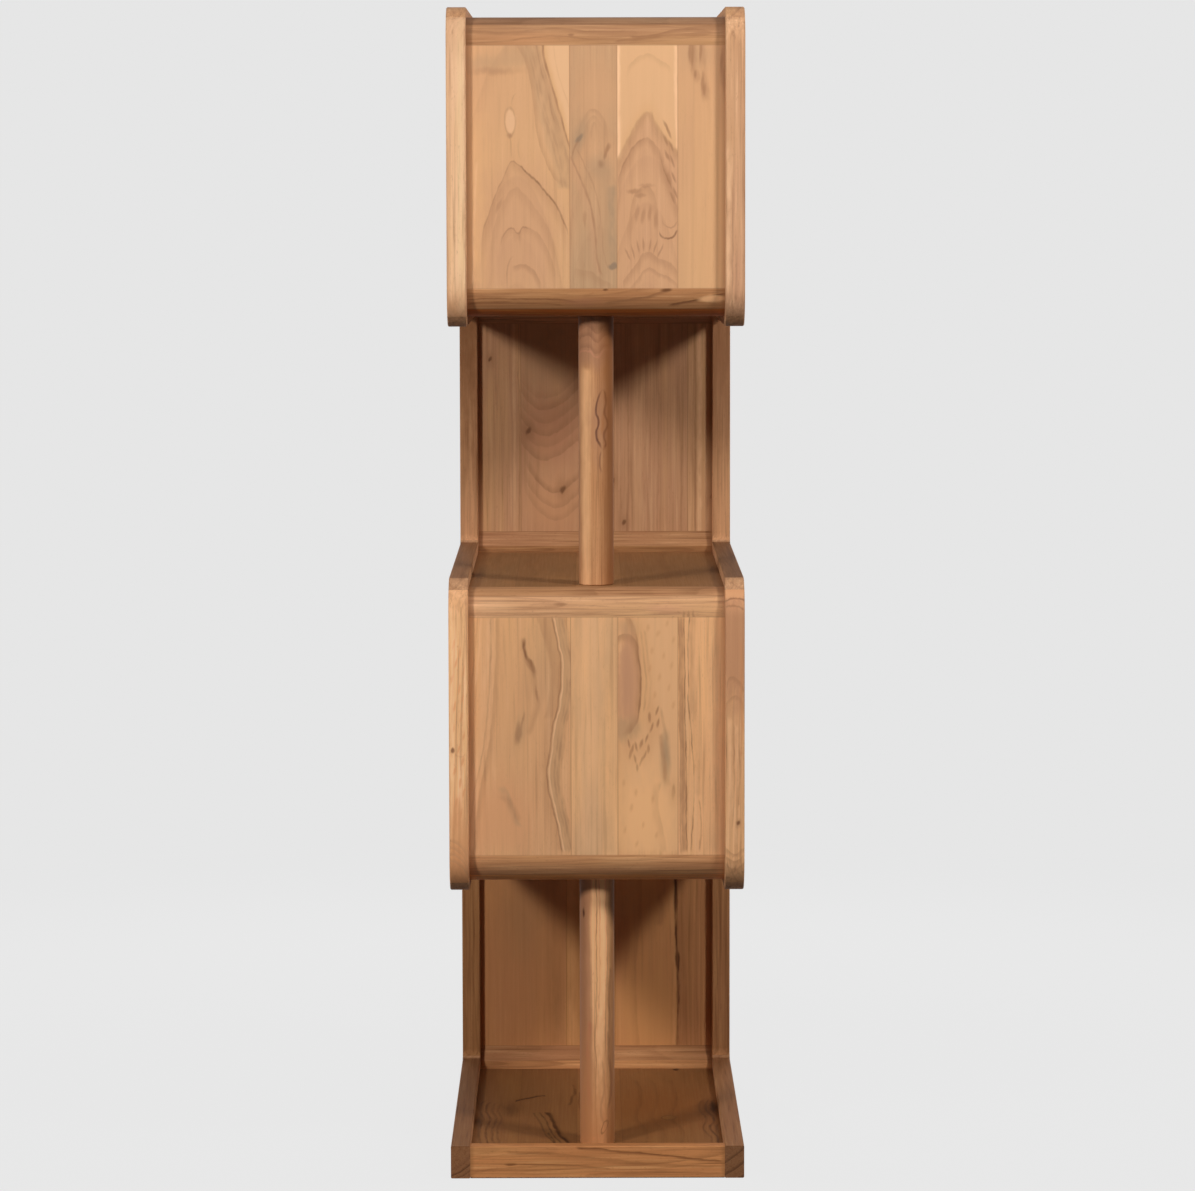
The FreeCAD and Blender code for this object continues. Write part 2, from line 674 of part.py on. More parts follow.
def post(label, under, over, end):
    """A turned post with a round peg at each end."""
    low = run_named[under].start_z
    high = run_named[over].start_z
    height = "(%s - %s - Sizes.board_thickness)" % (high, low)
    body = doc.addObject("PartDesign::Body", label + "_turning")
    sketch = new_sketch(body, "Profile", "XZ_Plane")
    radius = "(Sizes.post_diameter / 2)"
    peg = "(Sizes.peg_diameter / 2)"
    foot = "(-Sizes.peg_length)"
    head = "(%s + Sizes.peg_length)" % height
    corners = [
        ("0", foot), (peg, foot), (peg, "0"), (radius, "0"),
        (radius, height), (peg, height), (peg, head), ("0", head),
    ]
    stepped_outline(sketch, corners)
    doc.recompute()
    turning = body.newObject("PartDesign::Revolution", "Turning")
    turning.Profile = sketch
    turning.ReferenceAxis = (sketch, ["V_Axis"])
    turning.Angle = 360
    sketch.Visibility = False
    doc.recompute()
    easing = body.newObject("PartDesign::Chamfer", "Easing")
    full = number(radius)
    rims = [
        "Edge%d" % position for position, edge in enumerate(turning.Shape.Edges, start=1)
        if isinstance(edge.Curve, Part.Circle) and abs(edge.Curve.Radius - full) < 1e-6
    ]
    easing.Base = (turning, rims)
    bind(easing, Size="Sizes.post_easing")
    place(body, "0", "%d * %s" % (end, POST_OFFSET), "%s + %s" % (low, BOARD_HALF))
    doc.recompute()
    return add_node(label, body)


for values in POSTS:
    post(*values)

# ---------------------------------------------------------------- loose tenons

frame_keys = [thing for _, _, thing in frame_tenons("frame_tenon", "0")]
add_node("frame_tenons", group("frame_tenons_group", frame_keys))
lip_keys = [thing for _, _, thing in lip_tenons("lip_tenon", "0")]
add_node("lip_tenons", group("lip_tenons_group", lip_keys))

# ---------------------------------------------------------------- checks and export

doc.recompute()
for thing in doc.Objects:
    if "Invalid" in thing.State or "Error" in thing.State:
        raise RuntimeError("%s (%s) failed: %s" % (thing.Name, thing.Label, thing.State))
for thing in node_objects:
    if thing.Shape.isNull() or not thing.Shape.isValid():
        raise RuntimeError(thing.Label + " has no valid shape")

os.makedirs("parts", exist_ok=True)
for thing in node_objects:
    thing.Shape.exportStep("parts/%s.step" % thing.Label)
print("%d sub-parts written" % len(node_objects))
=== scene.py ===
"""Looks of a serpentine bookcase: oiled acacia, soft studio light and a camera.

Everything is in metres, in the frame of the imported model: +Z up, the narrow front faces -Y.
The wood is described in millimetres, from the middle of each board.
"""

import math

import bpy
from mathutils import Matrix, Vector


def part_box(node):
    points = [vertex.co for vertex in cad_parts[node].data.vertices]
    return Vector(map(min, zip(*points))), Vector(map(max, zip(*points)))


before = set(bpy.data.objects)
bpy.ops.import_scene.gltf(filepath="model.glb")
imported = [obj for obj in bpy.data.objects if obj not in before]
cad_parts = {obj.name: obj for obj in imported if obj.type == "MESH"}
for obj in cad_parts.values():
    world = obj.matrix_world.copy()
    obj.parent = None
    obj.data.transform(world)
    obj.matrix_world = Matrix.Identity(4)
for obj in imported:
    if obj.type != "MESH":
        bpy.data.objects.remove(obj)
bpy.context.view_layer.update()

# -------- shader arithmetic


class Value:
    """A number that a material works out at each point, with ordinary arithmetic."""

    def __init__(self, tree, socket):
        self.tree = tree
        self.socket = socket

    def math(self, operation, *others):
        node = self.tree.nodes.new("ShaderNodeMath")
        node.operation = operation
        for slot, value in zip(node.inputs, (self,) + others):
            join(self.tree, value, slot)
        return Value(self.tree, node.outputs[0])

    def __add__(self, other):
        return self.math("ADD", other)

    def __sub__(self, other):
        return self.math("SUBTRACT", other)

    def __mul__(self, other):
        return self.math("MULTIPLY", other)

    def __truediv__(self, other):
        return self.math("DIVIDE", other)

    def __neg__(self):
        return self * -1

    def __rsub__(self, other):
        return -self + other

    __radd__ = __add__
    __rmul__ = __mul__

    def sqrt(self):
        return self.math("SQRT")

    def size(self):
        return self.math("ABSOLUTE")

    def ramp(self, low, high, start=0.0, end=1.0):
        """start below low, end above high, and a smooth step between them."""
        node = self.tree.nodes.new("ShaderNodeMapRange")
        node.interpolation_type = "SMOOTHSTEP"
        for slot, value in zip(node.inputs, (self, low, high, start, end)):
            join(self.tree, value, slot)
        return Value(self.tree, node.outputs[0])


def join(tree, value, slot):
    """Feed a socket with a Value, or set it to a plain number or colour."""
    if isinstance(value, Value):
        tree.links.new(value.socket, slot)
    elif isinstance(value, (tuple, list)) and len(value) == 3 and slot.type == "RGBA":
        slot.default_value = (*value, 1.0)
    else:
        slot.default_value = value


def vector(tree, x, y, z):
    node = tree.nodes.new("ShaderNodeCombineXYZ")
    for slot, value in zip(node.inputs, (x, y, z)):
        join(tree, value, slot)
    return Value(tree, node.outputs[0])


def noise(tree, place, detail=2.0, seed=0.0):
    """Smooth noise about 0, mostly within -0.3 and 0.3."""
    node = tree.nodes.new("ShaderNodeTexNoise")
    node.noise_dimensions = "4D"
    join(tree, place, node.inputs["Vector"])
    join(tree, seed, node.inputs["W"])
    node.inputs["Scale"].default_value = 1.0
    node.inputs["Detail"].default_value = detail
    node.inputs["Roughness"].default_value = 0.55
    return Value(tree, node.outputs["Fac"]) - 0.5


def chance(tree, number):
    """A random share between 0 and 1 for each whole number."""
    node = tree.nodes.new("ShaderNodeTexWhiteNoise")
    node.noise_dimensions = "1D"
    join(tree, number, node.inputs["W"])
    return Value(tree, node.outputs["Value"])


def blend(tree, amount, first, second, kind="MIX"):
    """Mixes two colours. A Mix node's sockets for colours are 6 and 7, and output 2."""
    node = tree.nodes.new("ShaderNodeMix")
    node.data_type = "RGBA"
    node.blend_type = kind
    node.clamp_factor = True
    join(tree, amount, node.inputs[0])
    join(tree, first, node.inputs[6])
    join(tree, second, node.inputs[7])
    return Value(tree, node.outputs[2])


def coordinates(tree, kind="Object"):
    """The x, y and z of the point, or of its normal."""
    place = tree.nodes.new("ShaderNodeTexCoord")
    parts = tree.nodes.new("ShaderNodeSeparateXYZ")
    tree.links.new(place.outputs[kind], parts.inputs[0])
    return [Value(tree, socket) for socket in parts.outputs]


def group(inputs, outputs):
    """Makes a node group of a function. Its inputs and outputs named colour are colours."""

    def make(build):
        tree = bpy.data.node_groups.new(build.__name__, "ShaderNodeTree")
        for names, side in ((inputs, "INPUT"), (outputs, "OUTPUT")):
            for label in names.split():
                kind = "NodeSocketColor" if "colour" in label else "NodeSocketFloat"
                tree.interface.new_socket(label, in_out=side, socket_type=kind)
        given = tree.nodes.new("NodeGroupInput")
        wanted = tree.nodes.new("NodeGroupOutput")
        results = build(tree, *(Value(tree, socket) for socket in given.outputs if socket.name))
        for value, slot in zip(results, wanted.inputs):
            join(tree, value, slot)
        return tree

    return make


def use(tree, node_group, *values):
    """The outputs of a node group for these inputs."""
    node = tree.nodes.new("ShaderNodeGroup")
    node.node_tree = node_group
    for slot, value in zip(node.inputs, values):
        join(tree, value, slot)
    return [Value(tree, socket) for socket in node.outputs]


# -------- wood

HONEY = (0.72, 0.425, 0.205)
TAN = (0.64, 0.365, 0.188)
PINK = (0.61, 0.338, 0.188)
OLIVE = (0.52, 0.325, 0.175)
PALE = (0.83, 0.52, 0.29)
BROWN = (0.37, 0.19, 0.095)
UMBER = (0.20, 0.092, 0.044)
DARK = (0.09, 0.038, 0.018)
RUST = (0.56, 0.265, 0.12)
GREY = (0.36, 0.25, 0.15)
SLATE = (0.28, 0.2, 0.13)
ROSY = (0.44, 0.245, 0.165)
END_GRAIN = (0.33, 0.135, 0.052)

MM = 1000
SIDES = ("left_", "right_")
GLOSS = 0.25
ROUGHNESS = 0.52
RELIEF = 0.0003
# Where boards darken towards the frames, in millimetres from the middle: painted shade, the shadow
# the frames cast, over the dark joint there.
FRAME_SHADE_SPAN = (157, 164)

# A board is a little blue; one warmer by 1 is so much redder and less blue.
BLUE = 1.07
WARM_RED = 0.16
WARM_BLUE = -0.2

woods = {}


def wavy_wood(tree, u, v, w, seed):
    """Noise that runs along the grain: so wide across it and so long along it."""

    def wavy(wide, long, detail, offset):
        return noise(tree, vector(tree, u / wide, w / wide, v / long), detail, seed + offset)

    return wavy


@group(
    "u v w seed pith depth slope ring lines grain sway light_colour dark_colour",
    "colour fibre pores late",
)
def growth(tree, u, v, w, seed, pith, depth, slope, ring, lines, grain, sway, light, dark):
    """Growth rings, soft patches, fibres and pores of a board."""
    wavy = wavy_wood(tree, u, v, w, seed)
    drift = wavy(80, 260, 2, 1) * sway * 2 + wavy(20, 90, 2, 2) * 3.5
    side = u - pith + drift
    down = w + depth + slope * v
    radius = (side * side + down * down).sqrt()
    uneven = noise(tree, vector(tree, radius / 30, 0.0, 0.0), 2, seed + 3)
    turns = radius / ring + uneven * 3
    late = turns.math("FRACT")
    late = late.ramp(0.35, 0.92) - late.ramp(0.92, 1.0)
    late = late * chance(tree, turns.math("FLOOR") + seed).ramp(0.1, 1.0)
    zone = noise(tree, vector(tree, turns / 3.3, v / 300, 0.0), 2, seed + 5)
    fibre = wavy(1.7, 110, 3, 8)
    pores = wavy(0.6, 11, 1, 10).ramp(0.16, 0.3)
    patch = wavy(38, 150, 2, 6)
    streak = wavy(4.5, 130, 2, 12)
    fleck = wavy(1.3, 12, 1, 13).ramp(0.2, 0.32)
    colour = blend(tree, zone.ramp(-0.2, 0.2), light, dark)
    for amount, stain in (
        (patch.ramp(0.04, 0.25) * 0.35, PINK),
        (patch.ramp(-0.04, -0.25) * 0.4, HONEY),
        (wavy(26, 210, 2, 7).ramp(0.05, 0.28) * 0.4, OLIVE),
        (late * lines, BROWN),
        (streak.ramp(0.02, 0.25) * 0.3 * grain, BROWN),
        (streak.ramp(-0.02, -0.25) * 0.3 * grain, PALE),
        (fibre.ramp(0.0, 0.3) * 0.2 * grain, BROWN),
        (fibre.ramp(0.0, -0.3) * 0.22 * grain, PALE),
        (wavy(2.2, 6, 2, 9).ramp(0.05, 0.3) * 0.14 * grain, BROWN),
        (fleck * 0.22 * grain, BROWN),
        (pores * 0.2, UMBER),
    ):
        colour = blend(tree, amount, colour, stain)
    return colour, fibre, pores, late


@group("u v w seed", "near_u near_v patchy")
def wander(tree, u, v, w, seed):
    """Where the fibres run, which is never quite straight, and how patchily marks show."""
    wavy = wavy_wood(tree, u, v, w, seed)
    near_u = u + wavy(14, 40, 1, 31) * 5 + wavy(4, 11, 1, 33) * 1.8
    near_v = v + wavy(14, 40, 1, 37) * 7 + wavy(4, 11, 1, 39) * 3
    return near_u, near_v, wavy(7, 24, 2, 41)


CURVE = "here ahead low span run rise start end fade "
PLACE = "u v middle_u middle_v half_u half_v tilt "


def from_curve(here, ahead, low, span, run, rise, start, end, fade):
    """How far a point is from a curve, on its upper or right side, and 1 between its ends."""
    lean = (ahead - here) * span / 2
    away = (rise - here * span - low) / (lean * lean + 1).sqrt()
    return away, run.ramp(start, start + fade) * run.ramp(end - fade, end, 1.0, 0.0)


@group(CURVE + "inner outer patchy whole amount inside", "share")
def stroke(tree, *values):
    """A line along a curve, whole to this share where it is weakest."""
    *traced, inner, outer, patchy, whole, amount, inside = values
    away, between = from_curve(*traced)
    line = away.size().ramp(inner, outer, 1.0, 0.0)
    return (line * between * patchy.ramp(-0.2, 0.2, whole, 1.0) * amount * inside,)


@group(CURVE + "below above patchy whole amount inside", "share")
def shadow(tree, *values):
    """A line that fades so far below or left of its curve, and so far above or right of it."""
    *traced, below, above, patchy, whole, amount, inside = values
    away, between = from_curve(*traced)
    line = away.ramp(-below, 0.0) * away.ramp(0.0, above, 1.0, 0.0)
    return (line * between * patchy.ramp(-0.2, 0.2, whole, 1.0) * amount * inside,)


@group(CURVE + "soft sign amount inside", "share")
def one_side(tree, *values):
    """All on one side of a curve."""
    *traced, soft, sign, amount, inside = values
    away, between = from_curve(*traced)
    return ((away * sign).ramp(-soft, soft) * between * amount * inside,)


def reach(u, v, middle_u, middle_v, half_u, half_v, tilt):
    """How far a point is from the middle of an oval, whose rim is at 1."""
    along = v - middle_v
    across = (u - middle_u - along * tilt) / half_u
    along = along / half_v
    return (across * across + along * along).sqrt()


@group(PLACE + "soft amount patchy inside", "share")
def oval(tree, *values):
    *place, soft, amount, patchy, inside = values
    far = reach(*place) + patchy
    return (far.ramp(1 - soft, 1 + soft, 1.0, 0.0) * amount * inside,)


@group(PLACE + "soft amount patchy inside", "share")
def rim(tree, *values):
    *place, soft, amount, patchy, inside = values
    line = (reach(*place) - 1).size().ramp(0.0, soft, 1.0, 0.0)
    return (line * patchy.ramp(-0.2, 0.2, 0.5, 1.0) * amount * inside,)


class Wood:
    """The wood of one node: where a point is in it, in millimetres, and its colour so far.

    u runs across the grain, v along it and w through the board, from the middle of the node.

    A plank is (pith, depth, slope, ring, lines, grain, light, dark). Its heart lies pith to the
    side and depth behind its middle, and leans by slope. Its rings are ring wide, their dark
    lines show by lines and its fibres by grain, and its wood goes from light to dark.
    """

    def __init__(self, node, axes, seed, tone, warmth, sway, planks, seams=()):
        self.node = node
        self.tone = (tone * (1 + WARM_RED * warmth), tone, tone * (BLUE + WARM_BLUE * warmth))
        self.material = bpy.data.materials.new("wood_" + node)
        self.material.use_nodes = True
        self.tree = self.material.node_tree
        low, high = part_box(node)
        middle, half = (low + high) / 2, (high - low) / 2 * MM
        place = coordinates(self.tree)
        order = ["xyz".index(axis) for axis in axes]
        self.u, self.v, self.w = ((place[axis] - middle[axis]) * MM for axis in order)
        self.half_u, self.half_v = half[order[0]], half[order[1]]
        self.across = place[0] * MM
        self.grain_axis = order[1]
        self.end_grain = END_GRAIN
        self.plank = None
        self.seams = seams
        self.steps = [self.u.math("GREATER_THAN", seam) for seam in seams]
        walls = [1.0, *self.steps, 0.0]
        self.inside = [(1 - right) * left for left, right in zip(walls, walls[1:])]
        seeds = self.pick([seed + 7.3 * index for index in range(len(planks))])
        numbers = [self.pick([plank[column] for plank in planks]) for column in range(6)]
        colours = [self.pick([plank[column] for plank in planks]) for column in (6, 7)]
        place = (self.u, self.v, self.w, seeds)
        grown = use(self.tree, growth, *place, *numbers, sway, *colours)
        self.colour, self.fibre, self.pores, self.late = grown
        self.near_u, self.near_v, self.patchy = use(self.tree, wander, *place)
        woods[node] = self

    def pick(self, values):
        """The number or colour of the plank that a point is in."""
        chosen = values[0]
        for step, before, after in zip(self.steps, values, values[1:]):
            if isinstance(after, tuple):
                chosen = blend(self.tree, step, chosen, after)
            else:
                chosen = step * (after - before) + chosen
        return chosen

    def paint(self, amount, colour):
        self.colour = blend(self.tree, amount, self.colour, colour)

    def mark(self, shape, colour, *values):
        """Paints the share that a node group gives, on one plank or on all when plank is None."""
        inside = 1.0 if self.plank is None else self.inside[self.plank]
        self.paint(use(self.tree, shape, *values, inside)[0], colour)

    def curve(self, points, over, fade):
        """What a curve's node groups need: its height here and a little on, and its reach."""
        if over == "v":
            run, rise = self.near_v, self.near_u
            knots = sorted((v, u) for u, v in points)
        else:
            run, rise = self.near_u, self.near_v
            knots = sorted(points)
        start, end = knots[0][0], knots[-1][0]
        low = min(height for _, height in knots) - 5
        span = max(height for _, height in knots) + 5 - low
        share = run.math("MULTIPLY_ADD", 1 / (end - start), -start / (end - start))
        heights = []
        for place in (share, share + 2 / (end - start)):
            node = self.tree.nodes.new("ShaderNodeFloatCurve")
            node.mapping.extend = "HORIZONTAL"
            line = node.mapping.curves[0]
            corners = [((at - start) / (end - start), (to - low) / span) for at, to in knots]
            line.points[0].location = corners[0]
            line.points[1].location = corners[-1]
            for corner in corners[1:-1]:
                line.points.new(*corner)
            node.mapping.update()
            join(self.tree, place, node.inputs["Value"])
            heights.append(Value(self.tree, node.outputs[0]))
        return (*heights, low, span, run, rise, start, end, fade)

    def finish(self):
        """Seams, end grain, gloss and relief; the finished material goes on the node."""
        tree = self.tree
        in_frame = self.node.startswith(SIDES)
        for seam in self.seams:
            self.paint((self.u - seam).size().ramp(0.2, 1.0, 0.5, 0.0), BROWN)
        if not in_frame:
            # painted shade beside the side frames, over the dark joint there
            self.paint(self.across.size().ramp(*FRAME_SHADE_SPAN, 0.0, 0.6), BROWN)
        if self.node.endswith("_planks"):
            self.paint((self.half_v - self.v.size()).ramp(0.3, 1.2, 0.4, 0.0), BROWN)
        elif not in_frame:
            self.paint((self.half_u - self.u.size()).ramp(0.3, 1.5, 0.5, 0.0), BROWN)
        cut = coordinates(tree, "Normal")[self.grain_axis].size().ramp(0.6, 0.9)
        self.paint(cut * 0.72, self.end_grain)
        self.paint(cut * (self.late * 0.7 + self.fibre.ramp(0.0, 0.25) * 0.5), DARK)
        self.colour = blend(tree, 1.0, self.colour, self.tone, "MULTIPLY")
        shader = tree.nodes["Principled BSDF"]
        join(tree, self.colour, shader.inputs["Base Color"])
        shader.inputs["Specular IOR Level"].default_value = GLOSS
        join(tree, ROUGHNESS + self.fibre * 0.12 + self.pores * 0.1, shader.inputs["Roughness"])
        bump = tree.nodes.new("ShaderNodeBump")
        bump.inputs["Strength"].default_value = 0.25
        bump.inputs["Distance"].default_value = RELIEF
        join(tree, self.fibre - self.pores * 0.6, bump.inputs["Height"])
        tree.links.new(bump.outputs["Normal"], shader.inputs["Normal"])
        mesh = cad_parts[self.node].data
        mesh.materials.clear()
        mesh.materials.append(self.material)


# The marks on a board are drawn one after another. They go on the Wood that `board` is then.


def colour_strip(points, width, amount, colour=BROWN, over="v", soft=0.8, fade=8.0, broken=0.6):
    """A line or band of colour along a curve."""
    half = width / 2
    ends = (half * (1 - soft), half * (1 + soft), board.patchy, 1 - broken, amount)
    board.mark(stroke, colour, *board.curve(points, over, fade), *ends)


def shade(points, below, above, amount, colour=BROWN, over="v", fade=8.0, broken=0.4):
    """A line along a curve that fades over one distance below it and another above it."""
    ends = (below, above, board.patchy, 1 - broken, amount)
    board.mark(shadow, colour, *board.curve(points, over, fade), *ends)


def arc(points, *looks, **more):
    """A shade along a curve that runs across the grain."""
    shade(points, *looks, over="u", **more)


def flank(points, amount, colour, over="v", soft=4.0, sign=1.0, fade=8.0):
    """Colour on one side of a curve: right of it or above it, or the other side for sign -1. It
    paints the wood's own colour, and on some boards painted shade.
    """
    board.mark(one_side, colour, *board.curve(points, over, fade), soft, sign, amount)


def spot(u, v, half_u, half_v, amount, colour=BROWN, soft=0.6, tilt=0.0, shape=oval):
    """An oval patch of colour, or its rim: a stain in the wood, or on some boards painted shade or
    painted light. It leans to the right by tilt, as a slope.
    """
    place = (board.near_u, board.near_v, u, v, half_u, half_v, tilt)
    board.mark(shape, colour, *place, soft, amount, board.patchy)


def haze(*place_and_looks, **more):
    """A spot with a very soft edge."""
    spot(*place_and_looks, soft=0.9, **more)


def moved(points, across=0, along=0):
    return [(u + across, v + along) for u, v in points]


def lit(colour, share):
    """A colour that many times as light."""
    return tuple(min(part * share, 1.0) for part in colour)


# -------- planked boards

SEAMS_A = (-33, 27, 104)
SEAMS_B = (-104, -27, 33)
SEAMS_C = (-42, 27, 115)
SEAMS_D = (-104, 27, 130)

UPRIGHT_BOARD = "xzy"
LEVEL_BOARD = "xyz"


def panel(node, seed, seams, tone, warmth, sway, *planks):
    return Wood(node, UPRIGHT_BOARD, seed, tone, warmth, sway, planks, seams)

board = panel(
    "front_high_planks", 11, SEAMS_A, 1.04, 0.3, 5,
    (-100, 100, 0.15, 13, 0.2, 0.85, TAN, HONEY),
    (4, 90, 0.13, 11, 0.22, 0.9, TAN, OLIVE),
    (65, 84, 0.17, 10, 0.26, 1.3, HONEY, TAN),
    (240, 60, 0.03, 18, 0.08, 0.4, HONEY, TAN),
)
board.plank = 0  # pale wood with an eye, tall arches under it, and a grey band beside bright wood
spot(-100, -80, 46, 84, 0.5, PINK, soft=0.5)
colour_strip(((-142, 72), (-147, 9), (-152, -54), (-154, -150)), 22, 0.7, HONEY)
colour_strip(((-150, 10), (-154, -54), (-157, -150)), 2.5, 0.4, PALE)
spot(-116, 58, 40, 58, 0.3, HONEY)
haze(-110, 100, 60, 60, 0.3, PINK)
spot(-140, 131, 30, 9, 0.55, OLIVE, soft=0.8)
haze(-126, 121, 26, 4, 0.35)
spot(-98, 141, 20, 12, 0.5, OLIVE, soft=0.8)
band = ((-82, 158), (-72, 117), (-63, 79), (-52, 41), (-41, 3), (-36, -30))
colour_strip(band, 24, 0.6, OLIVE, soft=0.5, broken=0.4)
shade(moved(band, 8), 12, 2, 0.3, broken=0.7)
colour_strip(moved(band, -6), 3, 0.3, broken=0.9)
colour_strip(moved(band, -2), 3, 0.3, broken=0.9)
edge = ((-67, 158), (-61, 120), (-48, 80), (-40, 47), (-30, 19))
flank(edge, 0.85, HONEY, soft=2, fade=2)
flank(moved(edge, 5), 0.55, PALE, soft=4, fade=2)
colour_strip(moved(edge, 13), 1.6, 0.4, TAN)
colour_strip(edge, 2.4, 0.9, broken=0.5, fade=2)
colour_strip(((-75, 158), (-68, 120), (-58, 84), (-52, 55)), 1.8, 0.5, broken=0.9)
shade(((-100, 158), (-86, 123), (-79, 85), (-74, 47), (-64, 9), (-45, -22)), 1.5, 8, 0.35)
spot(-108, 58, 7, 16, 0.6, PALE, soft=0.25)
spot(-108, 58, 7.6, 17, 0.42, soft=0.22, shape=rim)
colour_strip(((-104, 75), (-105, 84), (-98, 94)), 1.5, 0.4)
colour_strip(((-109, 41), (-107, 25), (-106, 9)), 2, 0.35)
spot(-109, 40, 4, 3, 0.45)
colour_strip(((-96, 38), (-98, 22), (-94, 8)), 2, 0.22)
arch = (
    (-149, -150), (-146, -117), (-142, -79), (-130, -44), (-119, -16), (-111, 0), (-106, 7),
    (-98, 3), (-86, -8), (-67, -27), (-50, -49), (-40, -70), (-33, -88),
)
arc(arch, 15, 1.2, 0.3)
colour_strip(arch, 1.8, 0.42, over="u", broken=0.6)
colour_strip(arch[7:], 2.2, 0.5, UMBER, over="u", broken=0.5)
inner = (
    (-138, -150), (-133, -100), (-124, -62), (-112, -36), (-103, -26), (-92, -34), (-74, -56),
    (-58, -84), (-46, -120),
)
arc(inner, 14, 2, 0.22)
spot(-122, -48, 2.5, 9, 0.35, tilt=0.4)
crown = (
    (-122, -104), (-119, -92), (-115, -82), (-107, -77), (-98, -83), (-92, -76), (-81, -78),
    (-67, -93), (-57, -117), (-47, -150),
)
arc(crown, 12, 1, 0.3)
colour_strip(crown[:7], 2, 0.6, over="u", broken=0.4)
colour_strip(((-98, -82), (-97, -88), (-98, -94)), 1.8, 0.5)
colour_strip(((-112, -150), (-112, -128), (-108, -115), (-103, -110)), 1.8, 0.5)
arc(((-108, -128), (-94, -124), (-83, -127), (-73, -140), (-66, -156)), 9, 1.5, 0.5)
board.plank = 1  # a swirl at the top, a slanting line and a greenish band to a grey spot
spot(-2, 100, 26, 50, 0.5, TAN)
for inset, amount in ((0, 0.3), (8, 0.22), (16, 0.25)):
    swirl = (
        (-28 + inset, 14), (-22 + inset * 0.9, 40), (-12 + inset * 0.5, 66 - inset),
        (-2, 73 - inset * 1.1), (9 - inset * 0.3, 62 - inset), (16 - inset * 0.5, 36),
        (18 - inset * 0.5, 14),
    )
    arc(swirl, 7, 1.5, amount, broken=0.7)
spot(-20, 38, 7, 20, 0.4, GREY, soft=0.8, tilt=0.3)
spot(-21, 36, 3, 5, 0.8, SLATE, tilt=0.6)
spot(-26, 24, 1.5, 12, 0.5, tilt=0.4)
spot(15, 24, 3, 6, 0.7, tilt=0.3)
spot(12, 15, 2, 5, 0.7, tilt=0.2)
spot(6, 4, 3.5, 5, 0.7)
spot(4, 0, 14, 14, 0.3, GREY, soft=0.8)
colour_strip(((12, 4), (15, -50), (18, -98), (22, -132)), 14, 0.55, OLIVE)
colour_strip(((20, -20), (21, -70), (22, -100), (24, -130)), 9, 0.6, GREY, soft=0.9)
colour_strip(((-33, -12), (-27, -40), (-18, -80), (-14, -120)), 11, 0.45, OLIVE)
line = ((-33, 16), (-22, -8), (-12, -30), (-4, -63), (0, -89), (2, -117), (9, -140))
shade(line, 12, 1.5, 0.35, PINK)
colour_strip(line, 2.4, 0.62, broken=0.5)
colour_strip(moved(line, 8, 10), 1.8, 0.3)
spot(22, -125, 6, 4, 0.8, SLATE, soft=0.4)
spot(-14, -66, 2, 9, 0.35)
arc(((-30, -128), (-10, -132), (10, -144), (26, -152)), 14, 2, 0.3)
board.plank = 2  # bright top with a pointed lower edge, arches with dark edges under it
tip = ((28, 8), (38, 28), (47, 44), (58, 62), (66, 68), (76, 55), (84, 42), (104, 17))
flank(moved(tip, 0, -8), 0.5, PINK, over="u", soft=8, sign=-1, fade=0.5)
flank(tip, 0.8, HONEY, over="u", soft=5, fade=0.5)
flank(moved(tip, 0, 10), 0.3, PALE, over="u", soft=12, fade=0.5)
colour_strip(((28, 158), (29, 60), (29, 8)), 5, 0.9, lit(PALE, 1.15), broken=0.3)
colour_strip(((102, 158), (102, 60), (103, 20)), 4, 0.8, lit(PALE, 1.1), broken=0.3)
arc(((36, 116), (52, 136), (66, 141), (82, 134), (98, 122)), 8, 1.5, 0.22)
arc(tip, 14, 3, 0.42, fade=1)
arch = ((28, -26), (34, 0), (46, 22), (56, 33), (65, 36), (79, 22), (86, 0), (95, -24), (104, -51))
arc(arch, 12, 1.5, 0.45, fade=1)
colour_strip(arch[:5], 2.2, 0.4, over="u", broken=0.7)
arc(arch[5:], 1.5, 7, 0.75, broken=0.7)
for u, v in (
    (88, 52), (92, 44), (88, 34), (95, 26), (91, 14), (97, 8), (99, -12), (101, -32), (97, -38),
):
    spot(u, v, 1.6, 6, 0.65, tilt=-0.4)
crest = ((36, -84), (43, -62), (47, -42), (54, -30), (62, -25), (71, -30), (77, -48), (82, -84))
arc(crest, 16, 1.5, 0.32)
spot(48, -31, 8, 3, 0.55)
spot(56, -36, 6, 2.5, 0.45, tilt=0.3)
spot(64, -24, 9, 2.5, 0.35)
for u, v in ((40, -110), (47, -106), (54, -100), (61, -98), (68, -99), (75, -101), (82, -106)):
    spot(u, v, 1.2, 7, 0.5, tilt=(u - 61) * 0.02)
for u, v in ((52, -58), (60, -62), (68, -58), (76, -66)):
    spot(u, v, 2.4, 9, 0.42, tilt=0.1)
colour_strip(((80, -80), (86, -90), (94, -91), (104, -80)), 2.2, 0.75, UMBER, over="u", fade=1)
colour_strip(((84, -66), (90, -76), (97, -77), (104, -68)), 1.8, 0.45, over="u", fade=1)
low = ((34, -146), (43, -134), (53, -120), (65, -108), (79, -115), (91, -120), (104, -134))
arc(low, 12, 1.5, 0.4, fade=1)
arc(moved(low, 2, -20), 6, 1.5, 0.35, fade=1)
board.plank = 3  # plain, with a few short dark streaks at its top
spot(128, 142, 18, 18, 0.4, OLIVE, soft=0.8)
for u, v, length in (
    (119, 144, 12), (122, 138, 16), (133, 145, 12), (136, 106, 13), (138, 96, 7), (160, 130, 17),
    (163, 108, 14), (126, 118, 5),
):
    spot(u, v, 1.9, length, 0.6, tilt=0.03)
    spot(u + 2, v - 3, 4.5, length * 1.4, 0.3)
colour_strip(((166, 158), (168, 60), (166, -152)), 7, 0.35)

